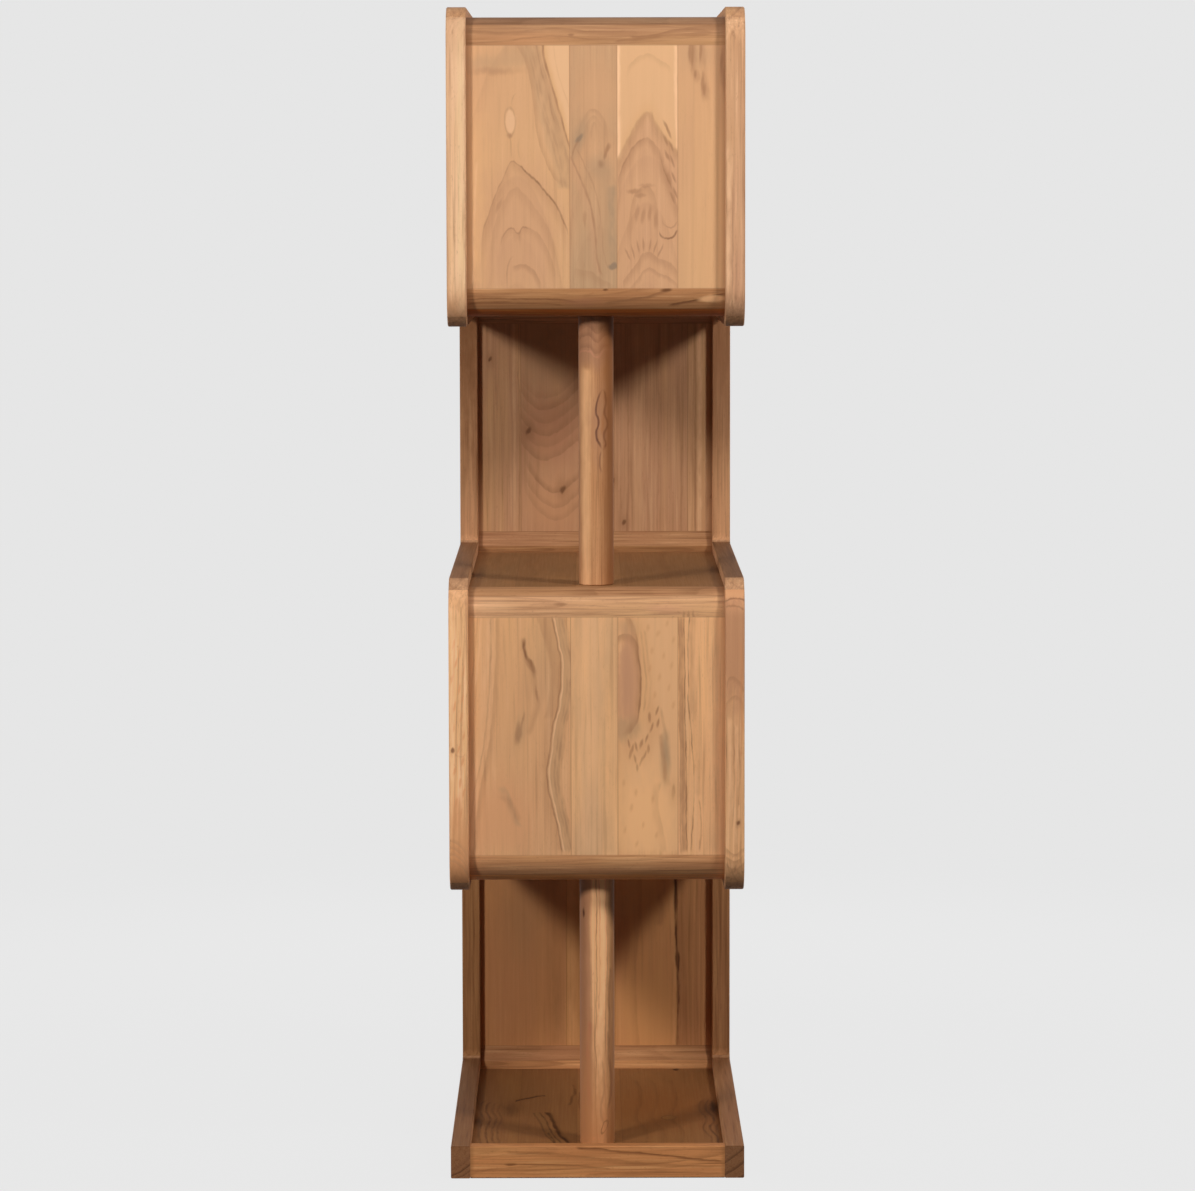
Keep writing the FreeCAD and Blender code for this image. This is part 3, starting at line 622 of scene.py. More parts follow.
board = panel(
    "front_low_planks", 23, SEAMS_A, 1.05, 0.6, 8,
    (-290, 60, 0.02, 16, 0.14, 1.5, lit(TAN, 1.08), lit(HONEY, 1.08)),
    (-200, 60, 0.01, 10, 0.06, 1.2, lit(HONEY, 1.26), lit(OLIVE, 1.34)),
    (64, 74, 0.1, 13, 0.14, 1.8, lit(HONEY, 1.1), (0.72, 0.4, 0.2)),
    (280, 60, 0, 9, 0.14, 1.5, lit(HONEY, 1.23), lit(TAN, 1.24)),
)
board.plank = 0  # pale streaks, a knot's long streak and a wavy dark band with a pale line in it
spot(-108, 30, 34, 90, 0.4, TAN)
spot(-122, -105, 40, 50, 0.7, (0.7, 0.37, 0.19), soft=0.7)
haze(-64, 100, 22, 60, 0.4, OLIVE)
streak = ((-128, 158), (-130, 71), (-139, -23), (-151, -79), (-157, -150))
colour_strip(moved(streak, -8), 14, 0.45, PALE)
shade(streak, 2, 7, 0.4)
colour_strip(moved(streak, -7), 2, 0.45, broken=0.8)
colour_strip(((-147, 158), (-149, 124), (-156, 60)), 3, 0.5, PALE)
colour_strip(((-152, 158), (-154, 124), (-161, 60), (-163, 0)), 2, 0.4)
trail = ((-93, 130), (-91, 105), (-84, 93), (-79, 71), (-77, 57), (-75, 46), (-80, 24), (-88, 0))
shade(trail, 8, 5, 0.35, broken=0.3)
colour_strip(trail[:4], 4.2, 0.95, UMBER, broken=0.6, fade=14)
spot(-84, 90, 4, 8, 0.5, tilt=-0.6)
spot(-77, 56, 1.8, 9, 0.6, tilt=-0.1)
spot(-100, 4, 4.2, 12, 0.95, tilt=0.15)
haze(-97, 10, 7, 22, 0.45, OLIVE, tilt=0.2)
spot(-94, 22, 1.5, 9, 0.5, tilt=0.2)
shade(((-122, -62), (-112, -82), (-104, -104), (-96, -118)), 10, 4, 0.3, GREY)
colour_strip(((-124, -74), (-108, -92), (-100, -110)), 8, 0.3)
band = (
    (-50, 158), (-42, 115), (-38, 96), (-41, 48), (-48, 15), (-53, -23), (-55, -52), (-50, -88),
    (-42, -121), (-36, -152),
)
colour_strip(band, 15, 0.75, OLIVE, soft=0.3, broken=0.4)
for across, width, amount in ((5, 3, 0.45), (1, 2, 0.4), (9, 3, 0.35)):
    colour_strip(moved(band, across), width, amount, broken=0.9)
shade(moved(band, -8), 16, 1.2, 0.3)
colour_strip(moved(band, -8), 1.8, 0.8, broken=0.5)
colour_strip(moved(band, -5), 2, 0.85, PALE, broken=0.3)
shade(((-76, 158), (-66, 124), (-58, 90), (-60, 50), (-68, 20)), 3, 12, 0.35)
board.plank = 1  # plain and straight, a little green
colour_strip(((-6, 158), (-10, 0), (-14, -152)), 26, 0.35, PALE)
colour_strip(((14, 158), (12, 0), (14, -152)), 14, 0.25, OLIVE)
colour_strip(((-26, 158), (-27, 0), (-25, -152)), 8, 0.35, OLIVE)
board.plank = 2  # a long dark loop round a pinkish heart, light stippled wood beside it
loop = (
    (40, 158), (48, 140), (52, 122), (54, 100), (56, 60), (54, 30), (47, 12), (38, 2), (28, -4),
    (26, -20), (26, -152),
)
flank(loop, 0.75, HONEY, soft=6)
flank(moved(loop, 12), 0.4, PALE, soft=14)
spot(41, 70, 14, 64, 0.85, PINK, soft=0.45)
spot(38, 74, 7, 46, 0.5, (0.5, 0.27, 0.16), soft=0.8)
spot(38, 10, 16, 14, 0.75, OLIVE, soft=0.6)
shade(loop[:8], 10, 2, 0.6, broken=0.5)
colour_strip(loop[2:7], 2.6, 0.5, UMBER, broken=0.7)
arc(((27, 128), (36, 131), (46, 126), (54, 112)), 12, 2, 0.6, fade=1)
spot(36, 140, 14, 10, 0.4, OLIVE, soft=0.8)
for across, amount in ((7, 0.35), (12, 0.25)):
    colour_strip(moved(loop[1:6], across), 2.5, amount, broken=0.8)
for u, v, tilt in (
    (42, -8, -0.1), (46, -16, 0.2), (43, -23, 0.1), (49, -29, -0.2), (57, -10, 0.2), (61, -24, 0.3),
    (52, -40, 0), (51, -14, -0.2), (64, -2, 0.3), (66, -16, 0.1), (70, 12, 0.3), (68, 24, 0),
    (77, 34, 0.3), (78, 18, 0.1), (57, -31, 0.3),
):
    spot(u, v, 1.5, 5.5, 0.8, tilt=tilt)
for u, v, half_u, half_v in ((46, -20, 8, 14), (62, -16, 8, 16), (72, 18, 8, 24)):
    haze(u, v, half_u, half_v, 0.3, (0.58, 0.3, 0.14))
spot(88, -30, 6, 30, 0.75, GREY, soft=0.7)
colour_strip(((82, 6), (84, -20), (88, -48), (93, -66)), 5, 0.5)
spot(87, -47, 2.2, 12, 0.6)
spot(98, -71, 1.8, 9, 0.85)
haze(98, -74, 5, 16, 0.35)
colour_strip(((82, 40), (86, 12), (92, -10)), 3, 0.4)
spot(62, -104, 38, 60, 0.75, lit(HONEY, 1.28), soft=0.8)
stipple = (
    (66, 140), (78, 132), (90, 146), (98, 124), (72, 112), (86, 104), (96, 92), (68, 88), (80, 76),
    (92, 64), (74, 54), (98, 40), (34, -60), (50, -72), (72, -80), (44, -92), (60, -114),
    (36, -120), (76, -128), (52, -138),
)
for u, v in stipple:
    haze(u, v, 1.8, 4, 0.32, RUST, tilt=0.15)
shade(((84, -56), (78, -86), (84, -120), (90, -152)), 12, 2, 0.25)
board.plank = 3  # straight dark lines beside the seam
colour_strip(((108, 158), (109, 40), (112, -152)), 6, 0.65, soft=0.5, broken=0.5)
colour_strip(((105, 158), (106, 40), (107, -152)), 1.8, 0.6, broken=0.5)
colour_strip(((112, 158), (113, 40), (116, -152)), 1.6, 0.8, UMBER, broken=0.7)
line = ((119, 158), (117, 110), (117, 60), (122, -9), (124, -43), (121, -152))
colour_strip(line, 1.6, 0.7, UMBER, broken=0.8)
colour_strip(((123, 158), (121, 90), (128, -20), (130, -80)), 8, 0.35)
colour_strip(((131, -80), (133, -110), (131, -152)), 1.8, 0.6)
colour_strip(((128, -40), (127, -80), (128, -152)), 4, 0.35, PALE)
colour_strip(((150, 158), (152, 0), (150, -152)), 20, 0.3, OLIVE)

# Its low tone is partly the wood's own and partly painted shade for the bay it stands in.
board = panel(
    "back_high_planks", 37, SEAMS_D, 0.79, 0.6, 6,
    (-330, 60, 0.01, 9, 0.2, 1.6, PINK, HONEY),
    (-48, 120, -0.1, 13, 0.16, 1, PINK, TAN),
    (300, 60, 0.01, 11, 0.25, 1.7, TAN, PINK),
    (300, 60, 0, 8, 0.3, 1.8, HONEY, TAN),
)
# Painted shade at the top of the panel, under the shelf above.
haze(-110, 150, 90, 80, 0.25)
board.plank = 0
colour_strip(((-114, 158), (-113, 0), (-113, -152)), 4, 0.5, PALE)
colour_strip(((-107, 158), (-106, 0), (-106, -152)), 2, 0.5)
board.plank = 1  # sagging scallops of pinkish wood, and fan lines below them
spot(-62, -4, 36, 44, 0.6, (0.6, 0.29, 0.16), soft=0.7)
spot(-60, -110, 40, 44, 0.6, (0.72, 0.39, 0.2), soft=0.7)
spot(-70, 110, 38, 50, 0.4, OLIVE, soft=0.8)
scallop = ((-104, 53), (-90, 34), (-77, 26), (-55, 30), (-40, 40), (-28, 50), (-10, 66))
for drop, amount in ((-16, 0.25), (0, 0.5), (18, 0.3), (36, 0.5), (52, 0.3), (70, 0.5)):
    arc(moved(scallop, 0, -drop), 2, 12, amount, fade=1)
fan = ((-100, -44), (-88, -66), (-77, -79), (-55, -90), (-28, -74), (-6, -50))
for drop, amount in ((0, 0.6), (22, 0.35), (40, 0.3)):
    arc(moved(fan, 0, -drop), 2, 10, amount)
board.plank = 2  # fine straight lines
for u, width, amount, colour in (
    (36, 3, 0.3, BROWN), (46, 2.4, 0.4, BROWN), (58, 12, 0.3, PALE), (70, 2, 0.3, BROWN),
    (88, 2.4, 0.4, BROWN), (97, 7, 0.3, HONEY), (121, 3, 0.35, BROWN),
):
    colour_strip(((u, 158), (u + 1, 0), (u - 1, -152)), width, amount, colour)
board.plank = 3
colour_strip(((140, 158), (141, 0), (140, -152)), 2.4, 0.6)
colour_strip(((147, 158), (147, 0), (146, -152)), 5, 0.75, lit(PALE, 1.1))
colour_strip(((158, 158), (157, 0), (157, -152)), 4, 0.6, PALE)
colour_strip(((164, 40), (165, -40), (164, -152)), 4, 0.5)
board.plank = None
for u, v, half in (
    (-147, 96, 3), (-94, -4, 4), (-45, -87, 4.5), (41, -133, 3.5), (164, -96, 3), (25, -74, 3),
):
    spot(u, v, half * 1.9, half * 3.4, 0.4, soft=0.8)
    spot(u, v, half * 0.75, half * 1.1, 0.8, UMBER, soft=0.5, tilt=0.3)

# Its low tone and warmth are partly the wood's own and partly painted shade for the bay it stands
# in.
board = panel(
    "back_low_planks", 41, SEAMS_C, 0.81, 1.6, 9,
    (-360, 60, 0.02, 12, 0.16, 0.8, PINK, TAN),
    (-330, 60, 0.01, 8, 0.12, 1.2, HONEY, TAN),
    (330, 60, 0.01, 12, 0.16, 1, lit(TAN, 1.15), lit(PINK, 1.1)),
    (330, 60, 0, 8, 0.3, 1.6, TAN, PINK),
)
board.plank = 0
spot(-110, 10, 60, 150, 0.4, (0.55, 0.285, 0.155))
haze(-104, 40, 30, 60, 0.3, GREY)
colour_strip(((-58, 158), (-60, 20), (-54, -152)), 18, 0.35)
board.plank = 1
colour_strip(((-36, 158), (-34, 0), (-35, -152)), 9, 0.55, PALE)
colour_strip(((-22, 158), (-20, 0), (-22, -152)), 5, 0.5)
board.plank = 2
spot(72, -104, 44, 66, 0.7, HONEY)
# Painted light on the top of this plank, brightening wood that the shelf above leaves in shade.
haze(84, 130, 60, 70, 0.75, lit(HONEY, 1.3))
colour_strip(((92, 158), (94, 90), (90, 20)), 12, 0.35)
haze(60, 60, 40, 30, 0.3, OLIVE)
shade(((58, 158), (64, 60), (56, -40), (62, -152)), 12, 2, 0.25)
crack = ((112, 158), (112, 88), (113, 17), (115, -26), (116, -83), (115, -152))
board.plank = None
colour_strip(moved(crack, -5), 4, 0.6, PALE)
shade(crack, 2, 22, 0.45)
colour_strip(crack, 3.4, 0.95, DARK, broken=0.8)
spot(113, 66, 2.5, 24, 0.8, DARK, soft=0.5)
spot(115, -26, 3, 12, 0.8, DARK, soft=0.5)


def shelf(node, seed, seams, tone, warmth, light, dark):
    """A level board of four planks that differ a little, as their tones do."""
    planks = []
    for i, share in enumerate((1, 0.9, 1.08, 0.96)):
        growth_here = (-260 + 130 * i, 70 + 17 * i, 0.04 * (1.5 - i), 12 + i, 0.16, 1)
        planks.append((*growth_here, lit(light, share), lit(dark, share)))
    return Wood(node, LEVEL_BOARD, seed, tone, warmth, 14, planks, seams)

# Its low tone and strong warmth are painted shade: the floor of the lowest bay is darkened and
# reddened in its colour.
board = shelf("floor_planks", 53, SEAMS_B, 0.33, 2.2, TAN, PINK)
board.plank = 0
haze(-120, -60, 44, 100, 0.35)
board.plank = None
haze(90, 10, 80, 140, 0.7, (0.56, 0.245, 0.1))
board.plank = 0  # rings that curl round a dark heart, and a short crack
for inset, amount in ((0, 0.6), (9, 0.75), (17, 0.6), (24, 0.5)):
    curl = (
        (-150 + inset, 60 - inset), (-158 + inset, 0), (-152 + inset, -70), (-156 + inset, -140),
        (-146 + inset, -262),
    )
    colour_strip(curl, 3.2, amount, UMBER, broken=0.6)
board.plank = None
crack = ((-112, 50), (-106, 60), (-91, 75), (-76, 88), (-70, 86))
colour_strip(crack, 6, 1, DARK, broken=0.1, over="u", fade=2)
board.plank = 0
haze(-117, -6, 10, 40, 0.45, DARK)
board.plank = None  # a strong slanting streak beside greenish bands, over the first seam
streak = ((-68, -20), (-62, -60), (-55, -125), (-49, -170), (-38, -222), (-30, -262))
colour_strip(moved(streak, -13), 9, 0.6, OLIVE, broken=0.4)
colour_strip(moved(streak, -9), 2.5, 0.7, DARK)
colour_strip(moved(streak, -18), 2.5, 0.6, DARK)
shade(streak, 3, 9, 0.7, UMBER, broken=0.3)
colour_strip(streak, 4.5, 0.95, DARK, broken=0.3)
colour_strip(((-38, 20), (-36, 40), (-32, 88), (-30, 128), (-34, 170)), 4, 0.8, UMBER)
colour_strip(((-50, -262), (-58, -200), (-66, -150)), 3, 0.7, DARK)
colour_strip(((-22, 120), (-24, 40), (-18, -60), (-24, -160)), 3, 0.5, UMBER)
spot(113, 277, 4, 12, 0.9, DARK)
board.plank = 3  # wavy dark lines near the right edge
spot(158, 10, 5, 30, 0.9, DARK)
haze(150, 0, 12, 50, 0.5, UMBER)
for across, amount in ((0, 0.8), (8, 0.5), (-9, 0.5)):
    edge = ((154, 60), (148, 0), (156, -76), (150, -130), (159, -204), (154, -262))
    colour_strip(moved(edge, across), 3.2, amount, UMBER, broken=0.5)
board.plank = None
spot(96, -60, 9, 14, 0.5, HONEY, soft=0.5)
spot(96, -60, 9, 14, 0.6, UMBER, soft=0.25, shape=rim)
for across, amount in ((0, 0.3), (22, 0.2), (48, 0.3)):
    grain = ((56, 200), (62, 60), (54, -60), (66, -150), (60, -262))
    shade(moved(grain, across), 9, 2, amount, UMBER)

# Its low tone and warmth are painted shade: the shelf's upper face, deep in the bay, is darkened in
# its colour.
board = shelf("shelf_2_planks", 61, SEAMS_B, 0.43, 1.6, TAN, OLIVE)
haze(110, -60, 70, 220, 0.35)
for across, amount in ((-130, 0.3), (-84, 0.35), (44, 0.3), (96, 0.35)):
    grain = ((2, 262), (-3, 90), (4, -60), (-2, -180), (3, -262))
    shade(moved(grain, across), 14, 3, amount)


shelf("shelf_1_planks", 59, SEAMS_A, 0.9, 0.8, TAN, OLIVE)
shelf("shelf_3_planks", 67, SEAMS_A, 0.95, 0.5, TAN, PINK)
shelf("top_planks", 71, SEAMS_B, 1.15, 0.3, HONEY, TAN)


def front_upright(node, seed, tone, warmth, light, dark, lines=0.3):
    planks = [(44, 60, 0.03, 6, lines, 2.8, light, dark)]
    return Wood(node, UPRIGHT_BOARD, seed, tone, warmth, 6, planks)

board = front_upright("left_front_high_upright", 131, 1.18, 0, PALE, lit(HONEY, 1.06))
colour_strip(((-10, 190), (-9, 60), (-11, -60), (-9, -190)), 5, 0.55, PINK, broken=0.5)
colour_strip(((-3, 190), (-2, 60), (-4, -190)), 1.8, 0.4, TAN)
colour_strip(((6, 190), (5, 20), (7, -190)), 7, 0.5, (0.8, 0.56, 0.28))
colour_strip(((11.5, 190), (11, 0), (11.5, -190)), 2.2, 0.6)
# Painted shade on the top end, where the rounded corner turns up away from the light.
haze(0, 186, 40, 34, 0.45)
haze(0, 130, 60, 120, 0.25, TAN)
haze(0, -190, 40, 30, 0.65, RUST)

board = front_upright("right_front_high_upright", 137, 1, 0.3, TAN, PINK, 0.2)
haze(0, 90, 30, 60, 0.25, PINK)
colour_strip(((-9, 40), (-8, -40), (-9, -110), (-8, -170)), 6, 0.65, lit(PALE, 1.1), fade=30)
colour_strip(((-4, -20), (-3, -90), (-4, -186)), 1.8, 0.5)
colour_strip(((11.5, 190), (11, 0), (11.5, -190)), 2.5, 0.4)
haze(0, -192, 40, 26, 0.5)

board = front_upright("left_front_low_upright", 143, 1.48, 0.4, HONEY, (0.64, 0.38, 0.18), 0.45)
stipple = (
    (-6, 120), (2, 108), (-3, 96), (6, 84), (-8, 74), (1, 62), (5, 50), (-5, 40), (3, 26), (-7, 12),
    (6, 2), (0, -14), (5, -30), (-4, -42), (2, -58), (7, -70), (-3, -84), (3, -98),
)
for u, v in stipple:
    spot(u, v, 1.3, 6, 0.75, RUST, tilt=0.18)
colour_strip(((-9, 172), (-7, 100), (-9, 20), (-8, -60)), 4, 0.5, PALE)
colour_strip(((4, 172), (6, 80), (3, 0), (5, -80)), 2, 0.45)
spot(-8, -15.5, 2.2, 3, 0.9, UMBER)
colour_strip(((-6, -18), (2, -24), (10, -18)), 1.8, 0.4, over="u", fade=3)
# Painted shade on the top end, where the rounded corner turns up away from the light.
haze(0, 184, 30, 24, 0.5)
spot(-2, -96, 9, 24, 0.5, RUST, soft=0.8)
haze(0, -175, 40, 60, 0.85, (0.46, 0.21, 0.09))
for drop in (0, 9, 17, 26):
    sag = ((-12, -132 - drop), (-2, -136 - drop), (6, -144 - drop), (12, -156 - drop))
    arc(sag, 1.5, 5, 0.5, fade=1)
colour_strip(((11.5, 190), (11, 0), (11.5, -190)), 2.2, 0.5)

board = front_upright("right_front_low_upright", 149, 1.13, 0.6, lit(TAN, 1.05), HONEY)
spot(0, 120, 40, 86, 0.8, (0.47, 0.245, 0.135), soft=0.5)
spot(0, 187, 30, 10, 0.8, (0.6, 0.32, 0.16), soft=0.3)
arc(((-12, 174), (0, 177), (12, 175)), 2, 2, 0.8, UMBER, fade=0.5)
arc(((-12, 166), (0, 168), (12, 164)), 2, 2, 0.5, UMBER, fade=0.5)
arc(((-12, 66), (-5, 78), (3, 74), (12, 60)), 6, 1.5, 0.6, fade=1)
arc(((-12, 40), (0, 52), (12, 36)), 6, 1.5, 0.4, fade=1)
colour_strip(((8, 125), (7.5, 60), (9, 0), (7.5, -28)), 2.5, 0.7, RUST)
colour_strip(((-7, 30), (-6, -60), (-9, -150)), 5, 0.5, PALE)
colour_strip(((1, 20), (3, -50), (-1, -90), (2, -140)), 5, 0.45, PALE)
colour_strip(((-2, 20), (-1, -50), (-4, -120)), 1.8, 0.6)
colour_strip(((6, -10), (6, -50), (4, -92)), 1.8, 0.5)
spot(4.5, -111.5, 1.8, 2.6, 0.95, DARK)
spot(4.5, -112, 3.4, 6, 0.4)
for drop in (0, 10, 20):
    arc(((-12, -142 - drop), (0, -150 - drop), (12, -140 - drop)), 6, 1.5, 0.5, fade=1)
haze(0, -190, 40, 22, 0.5)


def side_board(node, seed, tone, warmth, light=TAN, dark=PINK):
    axes = "yzx" if node.endswith("_upright") else "zyx"
    planks = [(60, 50, 0.03, 7, 0.45, 2.6, light, dark)]
    return Wood(node, axes, seed, tone, warmth, 9, planks)


# The curve into the next board rises so far above a rail's upper face, in millimetres.
CURVE_RISE = 3.8
# The tint of the painted shade on a rail's upper face.
TOP_SHADE_TINT = (1, 0.87, 0.75)


def top_in_painted_shade(node, seed, tone, warmth, light_left, end_grain=1):
    """A rail whose upper face carries painted shade: a tint darkens its colour there."""
    wood = side_board(node, seed, tone, warmth)
    face = wood.half_u - CURVE_RISE
    top_shade = wood.u.ramp(face - 1.5, face) * wood.u.ramp(face, face + 2.5, 1, 0)
    darker = lit(TOP_SHADE_TINT, light_left)
    wood.colour = blend(wood.tree, top_shade, wood.colour, darker, "MULTIPLY")
    wood.end_grain = lit(END_GRAIN, end_grain)


# Painted shade on the upper faces of the side rails at the floor and at shelf 2.
top_in_painted_shade("left_floor_rail", 116, 0.76, 0.8, 0.44, 0.84)
top_in_painted_shade("right_floor_rail", 122, 0.76, 0.8, 0.58, 0.65)
top_in_painted_shade("left_shelf_2_rail", 125, 0.84, 0.5, 0.5)
top_in_painted_shade("right_shelf_2_rail", 128, 0.84, 0.5, 0.38)

board = side_board("left_back_high_upright", 113, 0.94, 0.9)
# Painted shade over the upper part, where the bay above shades this upright.
haze(0, 190, 60, 180, 0.9, (0.24, 0.11, 0.048))

board = side_board("right_back_high_upright", 119, 0.92, 0.8)
# Painted shade over the upper part, where the bay above shades this upright.
haze(0, 190, 60, 160, 0.65, (0.34, 0.16, 0.075))


def rail(node, seed, tone, warmth, light=TAN, dark=(0.58, 0.31, 0.17), lines=0.6, grain=3.2):
    axes = "yxz" if node.startswith(("floor", "shelf", "top")) else "zxy"
    planks = [(16, 30, 0.06, 4.5, lines, grain, light, dark)]
    return Wood(node, axes, seed, tone, warmth, 7, planks)

light, dark = (0.67, 0.385, 0.185), (0.5, 0.275, 0.14)
board = rail("front_high_top_rail", 151, 0.78, 0.7, light, dark, 0.5, 2.2)
haze(-12, -120, 6, 60, 0.5)
haze(8, -150, 10, 34, 0.35)
spot(-2, -90, 9, 50, 0.5, (0.72, 0.38, 0.19), soft=0.8)
haze(10, 30, 8, 60, 0.35, (0.46, 0.24, 0.12))
spot(-6, 120, 8, 60, 0.4, HONEY, soft=0.8)
shade(((2, 40), (4, 70), (10, 100), (15, 140), (16, 172)), 7, 1.5, 0.8, broken=0.3)
shade(((-5, 20), (0, 60), (5, 110), (8, 172)), 5, 1.5, 0.55)
shade(((12, -172), (8, -110), (12, -50), (8, 0), (10, 40)), 5, 1.5, 0.6)
colour_strip(((-6, -172), (-4, -120), (2, -60), (-3, 0)), 2.2, 0.6)
spot(4, -31, 1.8, 4, 0.75)

board = rail("front_high_bottom_rail", 157, 0.72, 1.1, (0.66, 0.37, 0.18), (0.5, 0.26, 0.135))
colour_strip(((-5, -172), (-4, -120), (-3, -80), (-8, -20)), 2.2, 0.75, UMBER, broken=0.4)
colour_strip(((-10, -172), (-9, -100), (-12, -40)), 2.2, 0.7, UMBER, broken=0.4)
shade(((4, -172), (2, -130), (5, -80), (1, -30), (4, 0)), 4, 1.5, 0.6, broken=0.4)
spot(-8, -16, 5, 20, 0.5, (0.56, 0.29, 0.19))
haze(0, 40, 16, 90, 0.35, RUST)
middle = ((-2, -172), (-1, -60), (-5, 20), (-3, 100), (-6, 172))
# Painted shade on the lower half, where the round turns down away from the light.
flank(middle, 0.35, (0.4, 0.185, 0.08), soft=8, sign=-1, fade=1)
shade(((-9, 8), (-7, 30), (-2, 56), (6, 88), (8, 96)), 5, 1.5, 0.85, broken=0.2)
shade(((0, -20), (2, 20), (7, 50), (12, 80)), 4, 1.5, 0.5, broken=0.4)
shade(((-12, 90), (-7, 118), (-1, 146), (4, 172)), 4, 1.5, 0.9, UMBER, broken=0.2)
spot(-4, 150, 3.8, 20, 0.95, lit(PALE, 1.2), soft=0.4, tilt=0.05)
spot(8, 12, 1.8, 3, 0.9, UMBER)
spot(7, 90, 2.4, 6, 0.85, UMBER)
spot(6, -60, 8, 60, 0.3, HONEY, soft=0.8)

board = rail("front_low_top_rail", 163, 0.96, 0.5, HONEY, TAN)
spot(8, -47, 2, 7, 0.8)
colour_strip(((6, -90), (8, -60), (7, -30), (4, 20)), 1.8, 0.4)
spot(1, 88, 6, 22, 0.5, (0.62, 0.32, 0.19), soft=0.8)
for v in (112, 118, 124):
    spot(-6, v, 4, 1.5, 0.5)
spot(4, -140, 8, 30, 0.4, PALE, soft=0.8)
colour_strip(((10, 20), (8, 90), (11, 172)), 1.8, 0.4)
colour_strip(((-3, -172), (-5, -60), (-2, 40), (-5, 172)), 1.8, 0.35)

board = rail("front_lip", 173, 0.81, 1.8, (0.76, 0.405, 0.205), (0.66, 0.335, 0.17))
# Painted shade on the upper face, which faces away from the light.
flank(((20.6, -172), (20.6, 172)), 0.5, BROWN, soft=0.3, fade=0.5)
shade(((20, -30), (15, 20), (11, 68), (5, 120), (1, 164)), 4, 1.5, 0.8, UMBER, broken=0.3)
shade(((14, -120), (11, -60), (5, 0), (-2, 70), (-6, 164)), 5, 1.5, 0.6)
shade(((-13, -164), (-6, -100), (-4, -40), (-9, 20)), 4, 1.5, 0.6)
shade(((-18, -20), (-13, 60), (-16, 164)), 5, 1.5, 0.5)
colour_strip(((6, -164), (9, -120), (13, -70)), 1.8, 0.5)
spot(-3, -112, 1.5, 6, 0.7, UMBER)


def post(node, seed, tone, warmth, light=HONEY, dark=TAN):
    planks = [(30, 30, 0.03, 9, 0.2, 2.8, light, dark)]
    return Wood(node, UPRIGHT_BOARD, seed, tone, warmth, 5, planks)

board = post("high_front_post", 181, 0.84, 1, (0.68, 0.375, 0.19), (0.61, 0.33, 0.165))
# Painted highlight on the left side, where the light falls from the left.
colour_strip(((-13, 110), (-14, 0), (-13, -183)), 10, 0.85, lit(PALE, 1.2), soft=1, broken=0.2)
top = ((-24, 100), (-10, 112), (2, 104), (12, 114), (24, 104))
flank(top, 0.6, ROSY, over="u", soft=10, fade=0.5)
for rise, amount in ((22, 0.4), (36, 0.55), (47, 0.4), (60, 0.4), (72, 0.5)):
    arc(moved(top, 0, rise), 1.5, 7, amount, (0.25, 0.12, 0.08), fade=0.5)
colour_strip(moved(top, 0, 17), 2.2, 0.6, (0.7, 0.36, 0.24), over="u", fade=0.5)
spot(4, 38, 11, 48, 0.5, ROSY, soft=0.8)
knot = (0.15, 0.07, 0.055)
colour_strip(((8, 80), (3, 68), (0, 52), (3, 38), (0, 22), (4, 8), (7, 0)), 2.4, 0.9, knot, broken=0.3)
loop = ((8, 80), (13, 66), (11, 50), (14, 36), (10, 20), (12, 8), (7, 0))
colour_strip(loop, 2.8, 0.95, knot, broken=0.3)
colour_strip(((7, 2), (4, -12), (6, -30)), 2, 0.6, knot)
spot(8, 34, 2, 12, 0.6, RUST, tilt=0.1)
# Painted shade on the right side, away from the light.
flank(((6, 190), (8, 0), (10, -190)), 0.88, (0.28, 0.115, 0.042), soft=11)
# Painted shade at the left edge, where the round post turns away.
flank(((-18, 190), (-19, 0), (-18, -190)), 0.5, (0.34, 0.15, 0.07), soft=4, sign=-1)

board = post("low_front_post", 187, 1.2, 0.9, PALE, HONEY)
# Painted light at the top, lifting the shade that the shelf above casts.
haze(0, 150, 40, 60, 0.4, lit(PALE, 1.15))
flank(((-7, 190), (-8, 60), (-6, -60), (-7, -190)), 0.85, (0.4, 0.2, 0.11), soft=3, sign=-1)
# Painted shade at the left edge, where the round post turns away.
flank(((-14, 190), (-14, 0), (-13, -190)), 0.7, (0.27, 0.13, 0.07), soft=4, sign=-1)
colour_strip(((7, 190), (8, 60), (4, -60), (6, -186)), 8, 0.6, lit(PALE, 1.15), soft=0.6)
colour_strip(((-1, 190), (0, 60), (-2, -40), (0, -186)), 1.6, 0.8, broken=0.4)
colour_strip(((3, 190), (4, 90), (2, 0)), 1.2, 0.6)
colour_strip(((12, 190), (13, 60), (10, -60), (13, -186)), 2, 0.5)
colour_strip(((-9, -10), (-12, -60), (-9, -130)), 5, 0.7, (0.44, 0.17, 0.1))
spot(-18, 129, 1.8, 5, 0.95, DARK)
haze(0, -190, 60, 130, 0.85, (0.46, 0.22, 0.095))
# Painted shade at the right edge, where the round post turns away.
flank(((14, 190), (15, 0), (13, -190)), 0.85, (0.27, 0.12, 0.045), soft=6)
spot(9, -152, 3.2, 8, 0.85, UMBER, soft=0.3, tilt=0.3, shape=rim)
colour_strip(((18, 60), (15, -40), (18, -100), (13, -140), (17, -186)), 3, 0.7, UMBER)
colour_strip(((6, -60), (9, -100), (5, -130), (10, -160), (8, -186)), 2.5, 0.6)


